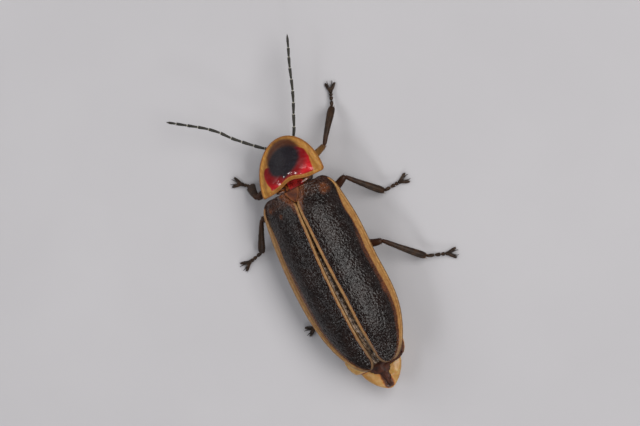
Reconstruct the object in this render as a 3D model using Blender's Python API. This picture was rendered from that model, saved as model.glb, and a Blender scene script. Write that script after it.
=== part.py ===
"""A firefly at life size, standing on its six feet with its wings folded.

Every size below is in millimetres and every place is in the body's own frame: x to the
animal's left from the middle of the body, y towards the tail, z up from the floor. The
finished meshes are turned into metres, and one empty carries them all.
"""

import math

import bmesh
import bpy
import numpy as np
from mathutils import Matrix, Vector

# Driving dimensions
MM = 0.001
MIDLINE_X = 0.68  # the right feet reach further, so the middle of the whole lies right of the body
PLATE = 0.5  # thickness of wing cases, wings and shield
LIMB = 0.25  # radius of the thinnest leg and feeler stretch
GAP = 0.2  # between a plate and what it lies on
FINE_GAP = 0.1  # between the small pieces of the head and in the leg sockets

# Shield over head and front body
SHIELD_AT = (-0.2, -2.32)
SHIELD_TURN = -1.0  # degrees, nose to the animal's right
SHIELD_LEAN = 0.12  # how far its middle line runs to the animal's right, for each mm
SHIELD_HALF_WIDTH = 1.75
SHIELD_LENGTH = 2.38
SHIELD_EDGE_Z = 2.12
SHIELD_DROP = 0.05  # how far the rim sinks towards the nose, for each mm
SHIELD_DOME = 0.82
SHIELD_CORNER = 0.1  # how far the hind corners point back
SHIELD_BAY = 0.26  # depth of the hollow curve of the hind edge
SHIELD_BAY_WIDTH = 0.36  # of half the shield's width

# Wing cases
CASE_FRONT_Y = -2.02
CASE_LENGTH = 10.02
CASE_HALF_WIDTH = 2.33
CASE_WIDEST = 0.47  # share of the length at which a case is widest
CASE_BOW = 0.88  # how much narrower it is away from there
CASE_SHOULDER_X = 1.35
CASE_SHOULDER = 0.08  # share of the length over which the shoulder rounds off
CASE_APEX_X = 0.5
CASE_TAPER_FROM = 0.55
CASE_CROWN_Z = 3.35
CASE_MARGIN_Z = 1.95
CASE_TIP_Z = 2.3
CASE_FLANGE = 0.93  # share of the width at which the flat rim starts
CASE_SPLAY = 0.21  # how much further out the right case's edge lies towards its tip
CASE_SHOULDER_SPLAY = 0.12  # and over its front part
SEAM_FRONT = 0.05  # half the space between the cases, behind the scutellum
SEAM_BACK = 0.18
SCUTELLUM_ROOM = 0.4  # how much further apart the cases stand at their very front
SCUTELLUM_SHARE = 0.09  # of the cases' length, over which they close in behind it

# Folded hind wings
WING_FRONT_Y = -0.95
WING_BACK_Y = 6.3
WING_SHARE = 0.46  # of a wing case's half width
WING_OVERLAP = -0.25  # how far the left wing reaches past the middle
WING_VEINS = (0.16, 0.38, 0.6, 0.82)
WING_VEIN_HEIGHT = 0.09

# Trunk
THORAX_Y = (-1.95, 1.5)
THORAX_HALF_WIDTH = 1.5
BELLY_Z = 0.62
BACK_Z = 1.56
ABDOMEN_Y = (1.5 + GAP, 6.75)
ABDOMEN_HALF_WIDTH = 1.72
SEGMENT_STEP = 0.07
ABDOMEN_SAG = 0.24  # how much lower its back lies at the hind end
TAIL_SHIFT = 0.13  # how far the lantern leans to the animal's left
TAIL_PLATE_Z = 1.4
TRUNK_SIDES = 20

# Head, which follows the shield's turn
HEAD_AT = (-0.28, -3.62, 1.2)
HEAD_HALF = (0.66, 0.66, 0.45)
EYE_RADIUS = 0.4
EYE_OUT = 0.66

# Legs
COXA_HALF = (0.4, 0.34, 0.3)
FOOT_LOBE = 0.48
FOOT_SPREAD = 26.0  # degrees between a foot's middle line and each of its two lobes
CLAW = 0.42
CLAW_SPREAD = 13.0
TOE_SEGMENTS = 4
KNEE_ARCH = 0.16

# name: root on the trunk, knee, ankle, tip of the foot between its claws
LEGS = {
    "front_left": ((0.42, -2.78, 0.8), (1.98, -2.42, 1.28), (2.19, -3.12, 0.34), (2.98, -3.74)),
    "front_right": ((-0.86, -2.84, 0.8), (-2.34, -3.32, 1.25), (-3.44, -4.92, 0.32), (-3.86, -6.1)),
    "middle_left": ((0.62, -0.6, 0.74), (2.28, -1.36, 1.2),(3.2, 0.16, 0.32), (4.48, 0.44)),
    "middle_right": ((-0.62, -0.6, 0.74), (-2.56, -1.44, 1.2), (-3.92, 0.12, 0.32), (-5.3, 0.03)),
    "hind_left": ((0.68, 0.95, 0.74), (2.2, 2.85, 0.92), (2.08, 4.8, 0.32), (2.98, 4.9)),
    "hind_right": ((-0.68, 0.95, 0.74), (-2.8, 2.32, 1.15), (-4.36, 4.06, 0.32), (-5.84, 4.6)),
}

# Feelers: a route from the head to the tip
FEELERS = {
    "antenna_left": (
        (-0.07, -4.26, 1.12), (0.3, -4.5, 1.08), (0.68, -4.74, 1.08), (1.44, -5.37, 1.16),
        (2.22, -6.26, 1.26), (3.12, -7.05, 1.36), (3.72, -7.5, 1.42), (4.44, -8.0, 1.46),
    ),
    "antenna_right": (
        (-0.49, -4.26, 1.12), (-0.8, -4.44, 1.08), (-1.1, -4.62, 1.08), (-1.38, -5.05, 1.12),
        (-1.86, -6.0, 1.24), (-2.33, -7.1, 1.34), (-2.75, -8.17, 1.42), (-3.2, -9.27, 1.46),
    ),
}
FEELER_SEGMENTS = 11

MATERIALS = {
    "shield_horn": ((0.55, 0.30, 0.09), 0.35),
    "wing_case_brown": ((0.030, 0.020, 0.018), 0.45),
    "wing_film": ((0.035, 0.022, 0.020), 0.30),
    "scutellum_amber": ((0.28, 0.10, 0.035), 0.35),
    "neck_pink": ((0.50, 0.06, 0.06), 0.30),
    "trunk_brown": ((0.045, 0.026, 0.018), 0.50),
    "lantern_cream": ((0.72, 0.52, 0.22), 0.40),
    "tail_plate_brown": ((0.075, 0.028, 0.018), 0.45),
    "head_brown": ((0.050, 0.030, 0.020), 0.40),
    "eye_black": ((0.010, 0.010, 0.012), 0.15),
    "leg_brown": ((0.060, 0.034, 0.020), 0.50),
    "feeler_black": ((0.030, 0.026, 0.018), 0.50),
}


# Small maths


def smooth(t):
    """0 below 0, 1 above 1, and an S-shaped curve between."""
    t = np.clip(t, 0.0, 1.0)
    return t * t * (3.0 - 2.0 * t)


def rounded(t, power, root):
    """A superellipse's arm: 1 at t = 0, falling to 0 at t = 1."""
    return (1.0 - np.clip(t, 0.0, 1.0) ** power) ** (1.0 / root)


def through(points, count):
    """count points on one smooth curve through the given ones (Catmull-Rom)."""
    points = np.array(points, float)
    padded = np.vstack([2 * points[0] - points[1], points, 2 * points[-1] - points[-2]])
    spans = len(points) - 1
    at = np.linspace(0.0, spans, count)
    start = np.minimum(at.astype(int), spans - 1)
    t = (at - start)[:, None]
    a, b, c, d = (padded[start + k] for k in range(4))
    return 0.5 * (
        2 * b + (c - a) * t + (2 * a - 5 * b + 4 * c - d) * t**2 + (3 * b - a - 3 * c + d) * t**3
    )


# Making closed bodies


def body_from(vertices, faces):
    """A mesh object of these points and faces, with its normals facing out."""
    mesh = bpy.data.meshes.new("body")
    mesh.from_pydata([tuple(v) for v in vertices], [], [tuple(f) for f in faces])
    work = bmesh.new()
    work.from_mesh(mesh)
    bmesh.ops.recalc_face_normals(work, faces=work.faces)
    if work.calc_volume(signed=True) < 0.0:
        bmesh.ops.reverse_faces(work, faces=work.faces)
    work.to_mesh(mesh)
    work.free()
    made = bpy.data.objects.new("body", mesh)
    bpy.context.scene.collection.objects.link(made)
    return made


def loft(rings):
    """A closed body through rings of equal count, its two ends closed by a fan."""
    rings = np.array(rings, float)
    count, sides = rings.shape[:2]
    vertices = [*rings.reshape(-1, 3), rings[0].mean(0), rings[-1].mean(0)]
    first, last = count * sides, count * sides + 1
    faces = []
    for k in range(sides):
        after = (k + 1) % sides
        faces.append((first, after, k))
        faces.append((last, (count - 1) * sides + k, (count - 1) * sides + after))
        for row in range(count - 1):
            a, b = row * sides + k, row * sides + after
            faces.append((a, b, b + sides, a + sides))
    return body_from(vertices, faces)


def tube(route, radii, sides=8, flat=1.0):
    """A body of round or flattened rings along a route. flat is its height over its width."""
    route, radii = np.array(route, float), np.array(radii, float)
    along = np.gradient(route, axis=0)
    along /= np.linalg.norm(along, axis=1, keepdims=True)
    across = np.cross(along, (0.0, 0.0, 1.0))
    across /= np.linalg.norm(across, axis=1, keepdims=True)
    upward = np.cross(across, along)
    angle = np.linspace(0.0, 2 * math.pi, sides, endpoint=False)
    rings = [
        p + r * (np.outer(np.cos(angle), s) + flat * np.outer(np.sin(angle), w))
        for p, r, s, w in zip(route, radii, across, upward)
    ]
    return loft(rings)


def plate(top, thickness, straight_down=False):
    """A curved plate: a grid of points on its upper face, and the same grid a thickness below,
    square to the surface or straight down. Both faces are split along the same diagonals."""
    rows, columns = top.shape[:2]
    normal = np.cross(np.gradient(top, axis=1), np.gradient(top, axis=0))
    normal /= np.linalg.norm(normal, axis=2, keepdims=True)
    normal *= np.sign(normal[..., 2:3])
    if straight_down:
        normal[:] = (0.0, 0.0, 1.0)
    low = top - thickness * normal
    vertices = [*top.reshape(-1, 3), *low.reshape(-1, 3)]
    under = rows * columns
    faces = []
    for i in range(rows - 1):
        for j in range(columns - 1):
            a, b = i * columns + j, i * columns + j + 1
            c, d = a + columns, b + columns
            faces += [(a, b, d), (a, d, c)]
            faces += [(under + a, under + d, under + b), (under + a, under + c, under + d)]
    rim = [*range(columns)]
    rim += [i * columns + columns - 1 for i in range(1, rows)]
    rim += [(rows - 1) * columns + j for j in range(columns - 2, -1, -1)]
    rim += [i * columns for i in range(rows - 2, 0, -1)]
    for a, b in zip(rim, rim[1:] + rim[:1]):
        faces += [(a, b, under + b), (a, under + b, under + a)]
    return body_from(vertices, faces)


def ellipsoid(centre, half, rings=8, sides=12):
    """A ball stretched to the three half sizes."""
    work = bmesh.new()
    bmesh.ops.create_uvsphere(work, u_segments=sides, v_segments=rings, radius=1.0)
    bmesh.ops.scale(work, vec=Vector(half), verts=work.verts)
    bmesh.ops.translate(work, vec=Vector(centre), verts=work.verts)
    mesh = bpy.data.meshes.new("body")
    work.to_mesh(mesh)
    work.free()
    made = bpy.data.objects.new("body", mesh)
    bpy.context.scene.collection.objects.link(made)
    return made


def block(low, high):
    """A box between two corners."""
    corners = [(x, y, z) for x in (low[0], high[0]) for y in (low[1], high[1]) for z in (low[2], high[2])]
    sides = [(0, 1, 3, 2), (4, 6, 7, 5), (0, 4, 5, 1), (2, 3, 7, 6), (0, 2, 6, 4), (1, 5, 7, 3)]
    return body_from(corners, sides)


# Joining and cutting


def keep_largest(mesh):
    """Leaves only the closed surface that holds most."""
    work = bmesh.new()
    work.from_mesh(mesh)
    bmesh.ops.triangulate(work, faces=work.faces)
    unseen, shells = set(work.faces), []
    while unseen:
        shell, edge = set(), [next(iter(unseen))]
        while edge:
            face = edge.pop()
            if face in shell:
                continue
            shell.add(face)
            edge += [f for e in face.edges for f in e.link_faces if f not in shell]
        unseen -= shell
        shells.append(shell)

    def volume(shell):
        corners = [[v.co for v in f.verts] for f in shell]
        return abs(sum(a.dot(b.cross(c)) for a, b, c in corners))

    shells.sort(key=volume)
    for shell in shells[:-1]:
        bmesh.ops.delete(work, geom=list(shell), context="FACES")
    work.to_mesh(mesh)
    work.free()


def combine(body, others, operation):
    """Applies one Boolean of the other bodies to this one, then removes them."""
    helpers = bpy.data.collections.new("helpers")
    bpy.context.scene.collection.children.link(helpers)
    for other in others:
        bpy.context.scene.collection.objects.unlink(other)
        helpers.objects.link(other)
    modifier = body.modifiers.new("combine", "BOOLEAN")
    modifier.operation = operation
    modifier.solver = "MANIFOLD"
    modifier.operand_type = "COLLECTION"
    modifier.collection = helpers
    graph = bpy.context.evaluated_depsgraph_get()
    merged = bpy.data.meshes.new_from_object(body.evaluated_get(graph))
    body.modifiers.clear()
    body.data = merged
    for other in others:
        bpy.data.objects.remove(other)
    bpy.data.collections.remove(helpers)
    keep_largest(body.data)
    return body


def fuse(pieces):
    """One closed body from pieces that reach into each other."""
    return combine(pieces[0], pieces[1:], "UNION")


def carve(body, cutters):
    """The body with the cutters' shapes taken out."""
    return combine(body, cutters, "DIFFERENCE")


def paint(name):
    """The named finish as a Principled BSDF."""
    colour, roughness = MATERIALS[name]
    material = bpy.data.materials.get(name) or bpy.data.materials.new(name)
    material.use_nodes = True
    shader = material.node_tree.nodes["Principled BSDF"]
    shader.inputs["Base Color"].default_value = (*colour, 1.0)
    shader.inputs["Roughness"].default_value = roughness
    shader.inputs["Metallic"].default_value = 0.0
    material.diffuse_color = (*colour, 1.0)
    return material


def node(name, body, finish, root):
    """Gives a finished body its name, finish, real size and place on the root."""
    body.name = name
    body.data.name = name
    body.data.transform(Matrix.Scale(MM, 4))
    body.data.materials.clear()
    body.data.materials.append(paint(finish))
    body.data.shade_smooth()
    body.data.set_sharp_from_angle(angle=math.radians(40))
    body.parent = root
    return body


# The shield


def shield_place(left, forward, z):
    """From the shield's own left and forward distances to the body's frame: a small turn, and
    a lean of its middle line to the animal's right."""
    turn = math.radians(SHIELD_TURN)
    x = SHIELD_AT[0] + left * math.cos(turn) - forward * (math.sin(turn) + SHIELD_LEAN)
    y = SHIELD_AT[1] - left * math.sin(turn) - forward * math.cos(turn)
    return np.stack([x, y, z], axis=-1)


def shield_outline(front, back):
    """Half an ellipse round the nose, then a hollow hind edge between two corners."""
    angle = np.linspace(0.0, math.pi, front)
    nose = np.stack([SHIELD_HALF_WIDTH * np.cos(angle), SHIELD_LENGTH * np.sin(angle)], axis=1)
    across = np.linspace(-1.0, 1.0, back)
    bay = SHIELD_BAY * np.exp(-((across / SHIELD_BAY_WIDTH) ** 2)) - SHIELD_CORNER
    hind = np.stack([0.985 * SHIELD_HALF_WIDTH * across, bay], axis=1)
    return np.vstack([nose, hind])


def shield_height(left, forward):
    """A low dome whose rim lies flat and sinks a little towards the nose."""
    rise = np.clip(forward, 0.0, None)
    reach = np.hypot(left / SHIELD_HALF_WIDTH, rise / SHIELD_LENGTH)
    dome = SHIELD_DOME * (1.0 - np.clip(reach, 0.0, 1.0) ** 2.2) ** 1.25
    return SHIELD_EDGE_Z - SHIELD_DROP * rise + dome


def shield():
    """Rings from the middle out to the outline, on the dome, and the same rings below."""
    outline = shield_outline(23, 11)
    centre = np.array([0.0, 0.95])
    shares = np.array([0.2, 0.4, 0.58, 0.74, 0.88, 1.0])
    flat = centre + shares[:, None, None] * (outline - centre)[None]
    upper = shield_place(flat[..., 0], flat[..., 1], shield_height(flat[..., 0], flat[..., 1]))
    crown = shield_place(*centre, shield_height(*centre))
    lower = upper - (0.0, 0.0, PLATE)
    bottom = crown - (0.0, 0.0, PLATE)
    count, sides = upper.shape[:2]
    vertices = [*upper.reshape(-1, 3), *lower.reshape(-1, 3), crown, bottom]
    under, top = count * sides, 2 * count * sides
    faces = []
    for k in range(sides):
        after = (k + 1) % sides
        faces += [(top, k, after), (top + 1, under + after, under + k)]
        for row in range(count - 1):
            a, b = row * sides + k, row * sides + after
            c, d = a + sides, b + sides
            faces += [(a, c, d), (a, d, b)]
            faces += [(under + a, under + d, under + c), (under + a, under + b, under + d)]
        a, b = (count - 1) * sides + k, (count - 1) * sides + after
        faces += [(a, under + a, under + b), (a, under + b, b)]
    return body_from(vertices, faces)


# The wing cases and wings


def case_edges(share):
    """Inner and outer edge of a wing case, as distances from the middle, at a share of its length."""
    width = CASE_HALF_WIDTH * (1.0 - CASE_BOW * (share - CASE_WIDEST) ** 2)
    shoulder = rounded(1.0 - share / CASE_SHOULDER, 2.2, 2.2)
    outer = CASE_SHOULDER_X + (width - CASE_SHOULDER_X) * shoulder
    taper = rounded((share - CASE_TAPER_FROM) / (1.0 - CASE_TAPER_FROM), 3.0, 2.0)
    outer = CASE_APEX_X + 0.1 + (outer - CASE_APEX_X - 0.1) * taper
    inner = SEAM_FRONT + (SEAM_BACK - SEAM_FRONT) * smooth(share / 0.45)
    beside_scutellum = SCUTELLUM_ROOM * (1.0 - smooth(share / SCUTELLUM_SHARE))
    apex = (CASE_APEX_X - SEAM_BACK) * (1.0 - rounded((share - 0.94) / 0.06, 2.0, 2.0))
    return inner + beside_scutellum + apex, outer


def case_height(across, share):
    """A vaulted back that ends in a narrow flat rim, low at the shoulders and at the tip."""
    vault = (1.0 - np.clip(across / CASE_FLANGE, 0.0, 1.0) ** 2.2) ** 0.85
    crown = CASE_CROWN_Z - 0.55 * (1.0 - smooth(share / 0.16)) - 0.12 * np.abs(share - 0.4) / 0.4
    crown = crown - (CASE_CROWN_Z - 0.18 - CASE_TIP_Z) * smooth((share - 0.72) / 0.3) ** 1.3
    margin = CASE_MARGIN_Z + 0.14 * smooth((share - 0.7) / 0.3)
    seam_dip = 0.06 * (1.0 - smooth(across / 0.12))
    return margin + (crown - margin) * vault - seam_dip


def case_surface(side, rows, columns):
    """A wing case's upper face. The right case reaches further out than the left."""
    share = np.sin(0.5 * math.pi * np.linspace(-1.0, 1.0, rows)) * 0.5 + 0.5
    share = 0.35 * share + 0.65 * np.linspace(0.0, 1.0, rows)
    across = np.linspace(0.0, 1.0, columns) ** 0.9
    inner, outer = case_edges(share)
    if side < 0:
        outer = outer + CASE_SPLAY * smooth((share - 0.42) / 0.38)
        outer = outer + CASE_SHOULDER_SPLAY * (1.0 - smooth((share - 0.22) / 0.3))
    x = inner[:, None] + (outer - inner)[:, None] * across[None]
    y = np.repeat((CASE_FRONT_Y + CASE_LENGTH * share)[:, None], columns, axis=1)
    z = case_height(across[None], share[:, None])
    return np.stack([side * x, y, z], axis=-1)


def wing_case(side):
    return plate(case_surface(side, 24, 11), PLATE)


def hind_wing(side):
    """A folded wing under its case, with its main veins raised in its own surface. The left
    wing lies across the middle, and the right one stops short of it."""
    rows = 13
    veins = np.array(WING_VEINS)
    across = np.unique(np.round([0.0, *(veins - 0.05), *veins, *(veins + 0.05), 1.0], 4))
    y = np.linspace(WING_FRONT_Y, WING_BACK_Y, rows)
    share = (y - CASE_FRONT_Y) / CASE_LENGTH
    inner = WING_OVERLAP if side > 0 else -WING_OVERLAP + GAP
    outer = WING_SHARE * case_edges(share)[1]
    x = inner + (outer - inner)[:, None] * across[None]
    case_share = np.abs(x) / case_edges(share)[1][:, None]
    z = case_height(case_share, share[:, None]) - PLATE - GAP - WING_VEIN_HEIGHT
    z = z - 0.12 * case_share
    z += WING_VEIN_HEIGHT * np.isin(across, veins)[None]
    top = np.stack([side * x, np.repeat(y[:, None], len(across), axis=1), z], axis=-1)
    return plate(top, PLATE, straight_down=True)


# The trunk


def trunk_ring(y, half_width, low, high, middle=0.0, sides=TRUNK_SIDES):
    """A rounded cross-section: flat-backed above, fuller below."""
    angle = np.linspace(0.0, 2 * math.pi, sides, endpoint=False)
    cosine, sine = np.cos(angle), np.sin(angle)
    x = middle + half_width * np.sign(cosine) * np.abs(cosine) ** 0.8
    z = 0.5 * (low + high) + 0.5 * (high - low) * np.sign(sine) * np.abs(sine) ** 0.9
    return np.stack([x, np.full(sides, y), z], axis=1)


def thorax():
    """The wing-bearing part, higher in front where the wing cases hinge, with leg sockets."""
    rings = []
    for y in np.linspace(*THORAX_Y, 9):
        share = (y - THORAX_Y[0]) / (THORAX_Y[1] - THORAX_Y[0])
        width = THORAX_HALF_WIDTH * (0.8 + 0.2 * math.sin(0.5 * math.pi * min(1.0, share / 0.4)))
        hump = 0.22 * (1.0 - float(smooth(share / 0.22)))
        rings.append(trunk_ring(y, width, BELLY_Z + 0.1 * (1.0 - share), BACK_Z + hump))
    return carve(loft(rings), beds("middle_left", "middle_right", "hind_left", "hind_right"))


def abdomen_width(y):
    """Half width along the abdomen, narrowing to the tail."""
    share = (y - ABDOMEN_Y[0]) / (ABDOMEN_Y[1] - ABDOMEN_Y[0])
    return ABDOMEN_HALF_WIDTH * (1.0 - 0.12 * (1.0 - min(1.0, share / 0.35)) ** 2)


def abdomen():
    """Five rings of plates, each with a hind edge that stands over the next."""
    segments = 5
    edges = np.linspace(*ABDOMEN_Y, segments + 1)
    rings = []
    for front, back in zip(edges, edges[1:]):
        for share, grow in ((0.0, -SEGMENT_STEP), (0.25, 0.0), (0.96, 0.02)):
            y = front + share * (back - front)
            width = abdomen_width(y) + grow
            top = BACK_Z - ABDOMEN_SAG * (y - ABDOMEN_Y[0]) / (ABDOMEN_Y[1] - ABDOMEN_Y[0])
            rings.append(trunk_ring(y, width, BELLY_Z - grow, top + grow))
    return carve(loft(rings), beds("hind_left", "hind_right"))


def lantern():
    """The pale light organ: two full rings of plates and a rounded last one, in steps."""
    start = ABDOMEN_Y[1] + GAP
    stations = (
        (start, 1.6, 0.64, 1.3), (7.2, 1.66, 0.62, 1.34), (7.76, 1.5, 0.63, 1.36),
        (8.0, 1.34, 0.66, 1.36), (8.08, 1.15, 0.7, 1.32), (8.3, 1.08, 0.71, 1.32),
        (8.6, 0.88, 0.74, 1.28), (8.9, 0.66, 0.8, 1.22), (9.15, 0.42, 0.88, 1.14),
        (9.32, 0.16, 0.94, 1.06),
    )
    rings = [trunk_ring(*station, middle=TAIL_SHIFT) for station in stations]
    return carve(loft(rings), [tail_plate(FINE_GAP)])


def tail_plate(grow=0.0):
    """The dark last back plate, let into the lantern's upper side. grow widens it for its bed."""
    stations = ((7.3, 0.92), (7.7, 1.0), (8.02, 0.96), (8.2, 0.62), (8.5, 0.4), (8.8, 0.3), (9.08, 0.2))
    rings = []
    for number, (y, half_width) in enumerate(stations):
        high = TAIL_PLATE_Z - 0.1 * float(smooth((y - 7.9) / 1.2))
        y += {0: -grow, len(stations) - 1: grow}.get(number, 0.0)
        low, high = high - PLATE - grow, high + grow
        rings.append(trunk_ring(y, half_width + grow, low, high, middle=TAIL_SHIFT, sides=12))
    return loft(rings)


def prothorax():
    """The front body under the shield, with the sockets of the front legs."""
    rings = []
    for share in np.linspace(0.0, 1.0, 5):
        y = -3.1 + 0.98 * share
        width = 0.8 + 0.16 * math.sin(math.pi * share)
        rings.append(trunk_ring(y, width, 0.82, 1.76, middle=-0.22, sides=16))
    hollow = ellipsoid(HEAD_AT, [size + GAP for size in HEAD_HALF], rings=10, sides=16)
    return carve(loft(rings), [hollow, *beds("front_left", "front_right")])


def neck():
    """The soft reddish part between shield and scutellum."""
    stations = (
        (-2.62, 0.62, 1.92, 2.16), (-2.45, 0.7, 1.92, 2.24),
        (-2.22, 0.72, 1.9, 2.3), (-2.06, 0.66, 1.92, 2.28),
    )
    return loft([trunk_ring(*station, middle=-0.06, sides=14) for station in stations])


def scutellum():
    """A small triangular plate between the roots of the wing cases."""
    rows, columns = 7, 7
    y = np.linspace(-1.94, -1.46, rows)
    share = (y - CASE_FRONT_Y) / CASE_LENGTH
    half = np.maximum(case_edges(share)[0] - 0.14, 0.06)
    across = np.linspace(-1.0, 1.0, columns)
    x = half[:, None] * across[None]
    z = case_height(0.1, share)[:, None] + 0.04 - 0.5 * x**2
    top = np.stack([x, np.repeat(y[:, None], columns, axis=1), z], axis=-1)
    return plate(top, PLATE, straight_down=True)


# The head


def eye_place(side):
    return (HEAD_AT[0] + side * EYE_OUT, HEAD_AT[1] - 0.08, HEAD_AT[2] - 0.02)


def head():
    """A short capsule with a bed for each eye, a brow between the feelers and their sockets."""
    capsule = ellipsoid(HEAD_AT, HEAD_HALF, rings=10, sides=16)
    face = ellipsoid((HEAD_AT[0], HEAD_AT[1] - 0.4, HEAD_AT[2] - 0.1), (0.42, 0.4, 0.34))
    beds = [ellipsoid(eye_place(side), [EYE_RADIUS + FINE_GAP] * 3, sides=14) for side in (1, -1)]
    return carve(fuse([capsule, face]), beds + [feeler_bed(route) for route in FEELERS.values()])


def feeler_bed(route):
    """The hollow in which a feeler's root sits."""
    root = np.array(route[0])
    return ellipsoid(root + (0.0, 0.02, 0.0), [LIMB + FINE_GAP] * 3, rings=6, sides=10)


def eye(side):
    return ellipsoid(eye_place(side), [EYE_RADIUS] * 3, rings=9, sides=14)


def mouthparts():
    """Upper lip, a pair of sickle jaws and two pairs of jointed palps, fused on one base."""
    x, y, z = HEAD_AT[0], HEAD_AT[1], HEAD_AT[2]
    base = ellipsoid((x, y - 0.42, z - 0.62), (0.34, 0.3, 0.12), rings=6, sides=12)
    pieces = [base]
    for side in (1, -1):
        jaw = ((0.14, -0.6, -0.6), (0.2, -0.78, -0.62), (0.13, -0.92, -0.64), (0.02 + 0.05, -1.0, -0.65))
        outer = ((0.26, -0.45, -0.62), (0.44, -0.55, -0.7), (0.52, -0.7, -0.8), (0.5, -0.84, -0.88))
        inner = ((0.12, -0.34, -0.66), (0.2, -0.4, -0.8), (0.2, -0.5, -0.9))
        for shape, radii in ((jaw, (0.09, 0.08, 0.06, 0.03)), (outer, (0.1, 0.09, 0.11, 0.05)), (inner, (0.09, 0.08, 0.05))):
            route = [(x + side * a, y + b, z + c) for a, b, c in shape]
            pieces.append(tube(route, radii, sides=6))
    return fuse(pieces)


def antenna(route):
    """Eleven joints, each a little thicker at its far end, ending in a blunt point."""
    rings_per_joint = 3
    count = FEELER_SEGMENTS * rings_per_joint + 1
    path = through(route, count)
    swell = np.tile([0.84, 0.94, 1.0], FEELER_SEGMENTS)
    radii = LIMB * np.append(swell, 0.3)
    radii[-3:-1] = LIMB * 0.9, LIMB * 0.7
    return tube(path, radii, sides=7)


# The legs


def thigh(root, knee, grow=0.0):
    """The femur, thickest past its middle. grow widens it for its bed in the trunk."""
    way = root + (knee - root) * np.array([0.0, 0.2, 0.5, 0.8, 1.0, 1.06])[:, None]
    return tube(way, np.array([0.2, 0.25, 0.28, 0.27, 0.25, 0.16]) + grow, sides=8)


def beds(*names):
    """The hollows in the trunk round the roots and thighs of these legs."""
    cutters = []
    for name in names:
        root, knee = (np.array(place, float) for place in LEGS[name][:2])
        cutters.append(ellipsoid(root, [size + FINE_GAP for size in COXA_HALF], rings=8, sides=12))
        cutters.append(thigh(root, knee, FINE_GAP))
    return cutters


def foot(ankle, tip):
    """Toe joints flat on the floor, then two lobes side by side with the claws between them."""
    ankle, tip = np.array(ankle), np.array([*tip, 0.16])
    length = np.linalg.norm(tip[:2] - ankle[:2])
    ahead = np.append((tip[:2] - ankle[:2]) / length, 0.0)
    fork = tip - ahead * FOOT_LOBE
    fork[2] = LIMB - 0.05
    steps = TOE_SEGMENTS * 2 + 1
    share = np.linspace(0.0, 1.0, steps)[:, None]
    path = ankle + (fork - ankle) * share
    radii = LIMB * np.array([0.9, 1.0] * TOE_SEGMENTS + [0.8])
    pieces = [tube(path, radii, sides=8)]
    for side in (1, -1):
        turn = Matrix.Rotation(math.radians(side * FOOT_SPREAD), 3, "Z")
        out = np.array(turn @ Vector(ahead))
        lobe = [fork - 0.1 * out + (0, 0, 0.02), fork + 0.22 * out, fork + 0.4 * out, fork + 0.5 * out]
        pieces.append(tube(lobe, (0.12, 0.17, 0.16, 0.08), sides=7))
        hook = np.array(Matrix.Rotation(math.radians(side * CLAW_SPREAD), 3, "Z") @ Vector(ahead))
        reach = np.array([-0.2, 0.5, 1.0, 1.4])[:, None] * CLAW
        claw = fork + hook * reach + np.array([0.0, 0.07, 0.05, -0.04])[:, None] * (0, 0, 1)
        pieces.append(tube(claw, (0.11, 0.09, 0.07, 0.03), sides=5))
    return pieces


def leg(name):
    """Coxa, thigh, shin and foot fused to one body, flat where it meets the floor."""
    root, knee, ankle, tip = (np.array(p, float) for p in LEGS[name])
    coxa = ellipsoid(root, COXA_HALF, rings=7, sides=10)
    share = np.array([-0.03, 0.05, 0.25, 0.5, 0.75, 0.94, 1.0])[:, None]
    shin_way = knee + (ankle - knee) * share
    shin_way[:, 2] += KNEE_ARCH * np.sin(math.pi * np.clip(share[:, 0], 0.0, 1.0))
    shin = tube(shin_way, (0.16, 0.25, 0.25, 0.26, 0.28, 0.27, 0.2), sides=8)
    whole = fuse([coxa, thigh(root, knee), shin, *foot(ankle, tip)])
    floor = block((-9.0, -9.0, -2.0), (9.0, 9.0, 0.0))
    return carve(whole, [floor])


def build():
    for old in list(bpy.data.objects):
        bpy.data.objects.remove(old)
    root = bpy.data.objects.new("firefly", None)
    root.location = (MIDLINE_X * MM, 0.0, 0.0)
    bpy.context.scene.collection.objects.link(root)
    node("pronotum", shield(), "shield_horn", root)
    for side, word in ((1, "left"), (-1, "right")):
        node(f"elytron_{word}", wing_case(side), "wing_case_brown", root)
        node(f"hindwing_{word}", hind_wing(side), "wing_film", root)
        node(f"eye_{word}", eye(side), "eye_black", root)
    node("scutellum", scutellum(), "scutellum_amber", root)
    node("mesonotum", neck(), "neck_pink", root)
    node("prothorax", prothorax(), "trunk_brown", root)
    node("thorax", thorax(), "trunk_brown", root)
    node("abdomen", abdomen(), "trunk_brown", root)
    node("lantern", lantern(), "lantern_cream", root)
    node("pygidium", tail_plate(), "tail_plate_brown", root)
    node("head", head(), "head_brown", root)
    node("mouthparts", mouthparts(), "head_brown", root)
    for name, route in FEELERS.items():
        node(name, antenna(route), "feeler_black", root)
    for name in LEGS:
        node(f"leg_{name}", leg(name), "leg_brown", root)


build()
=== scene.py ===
"""The looks of a life-size firefly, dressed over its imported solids.

Places and sizes are in millimetres in the body's own frame: x to the animal's left from the
middle of the body, y towards the tail, z up from the floor. Colours are linear light. The
share of a length or a width is 0 at its front or inner end and 1 at the other.
"""

import math

import bpy
import numpy as np
from mathutils import Matrix


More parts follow.
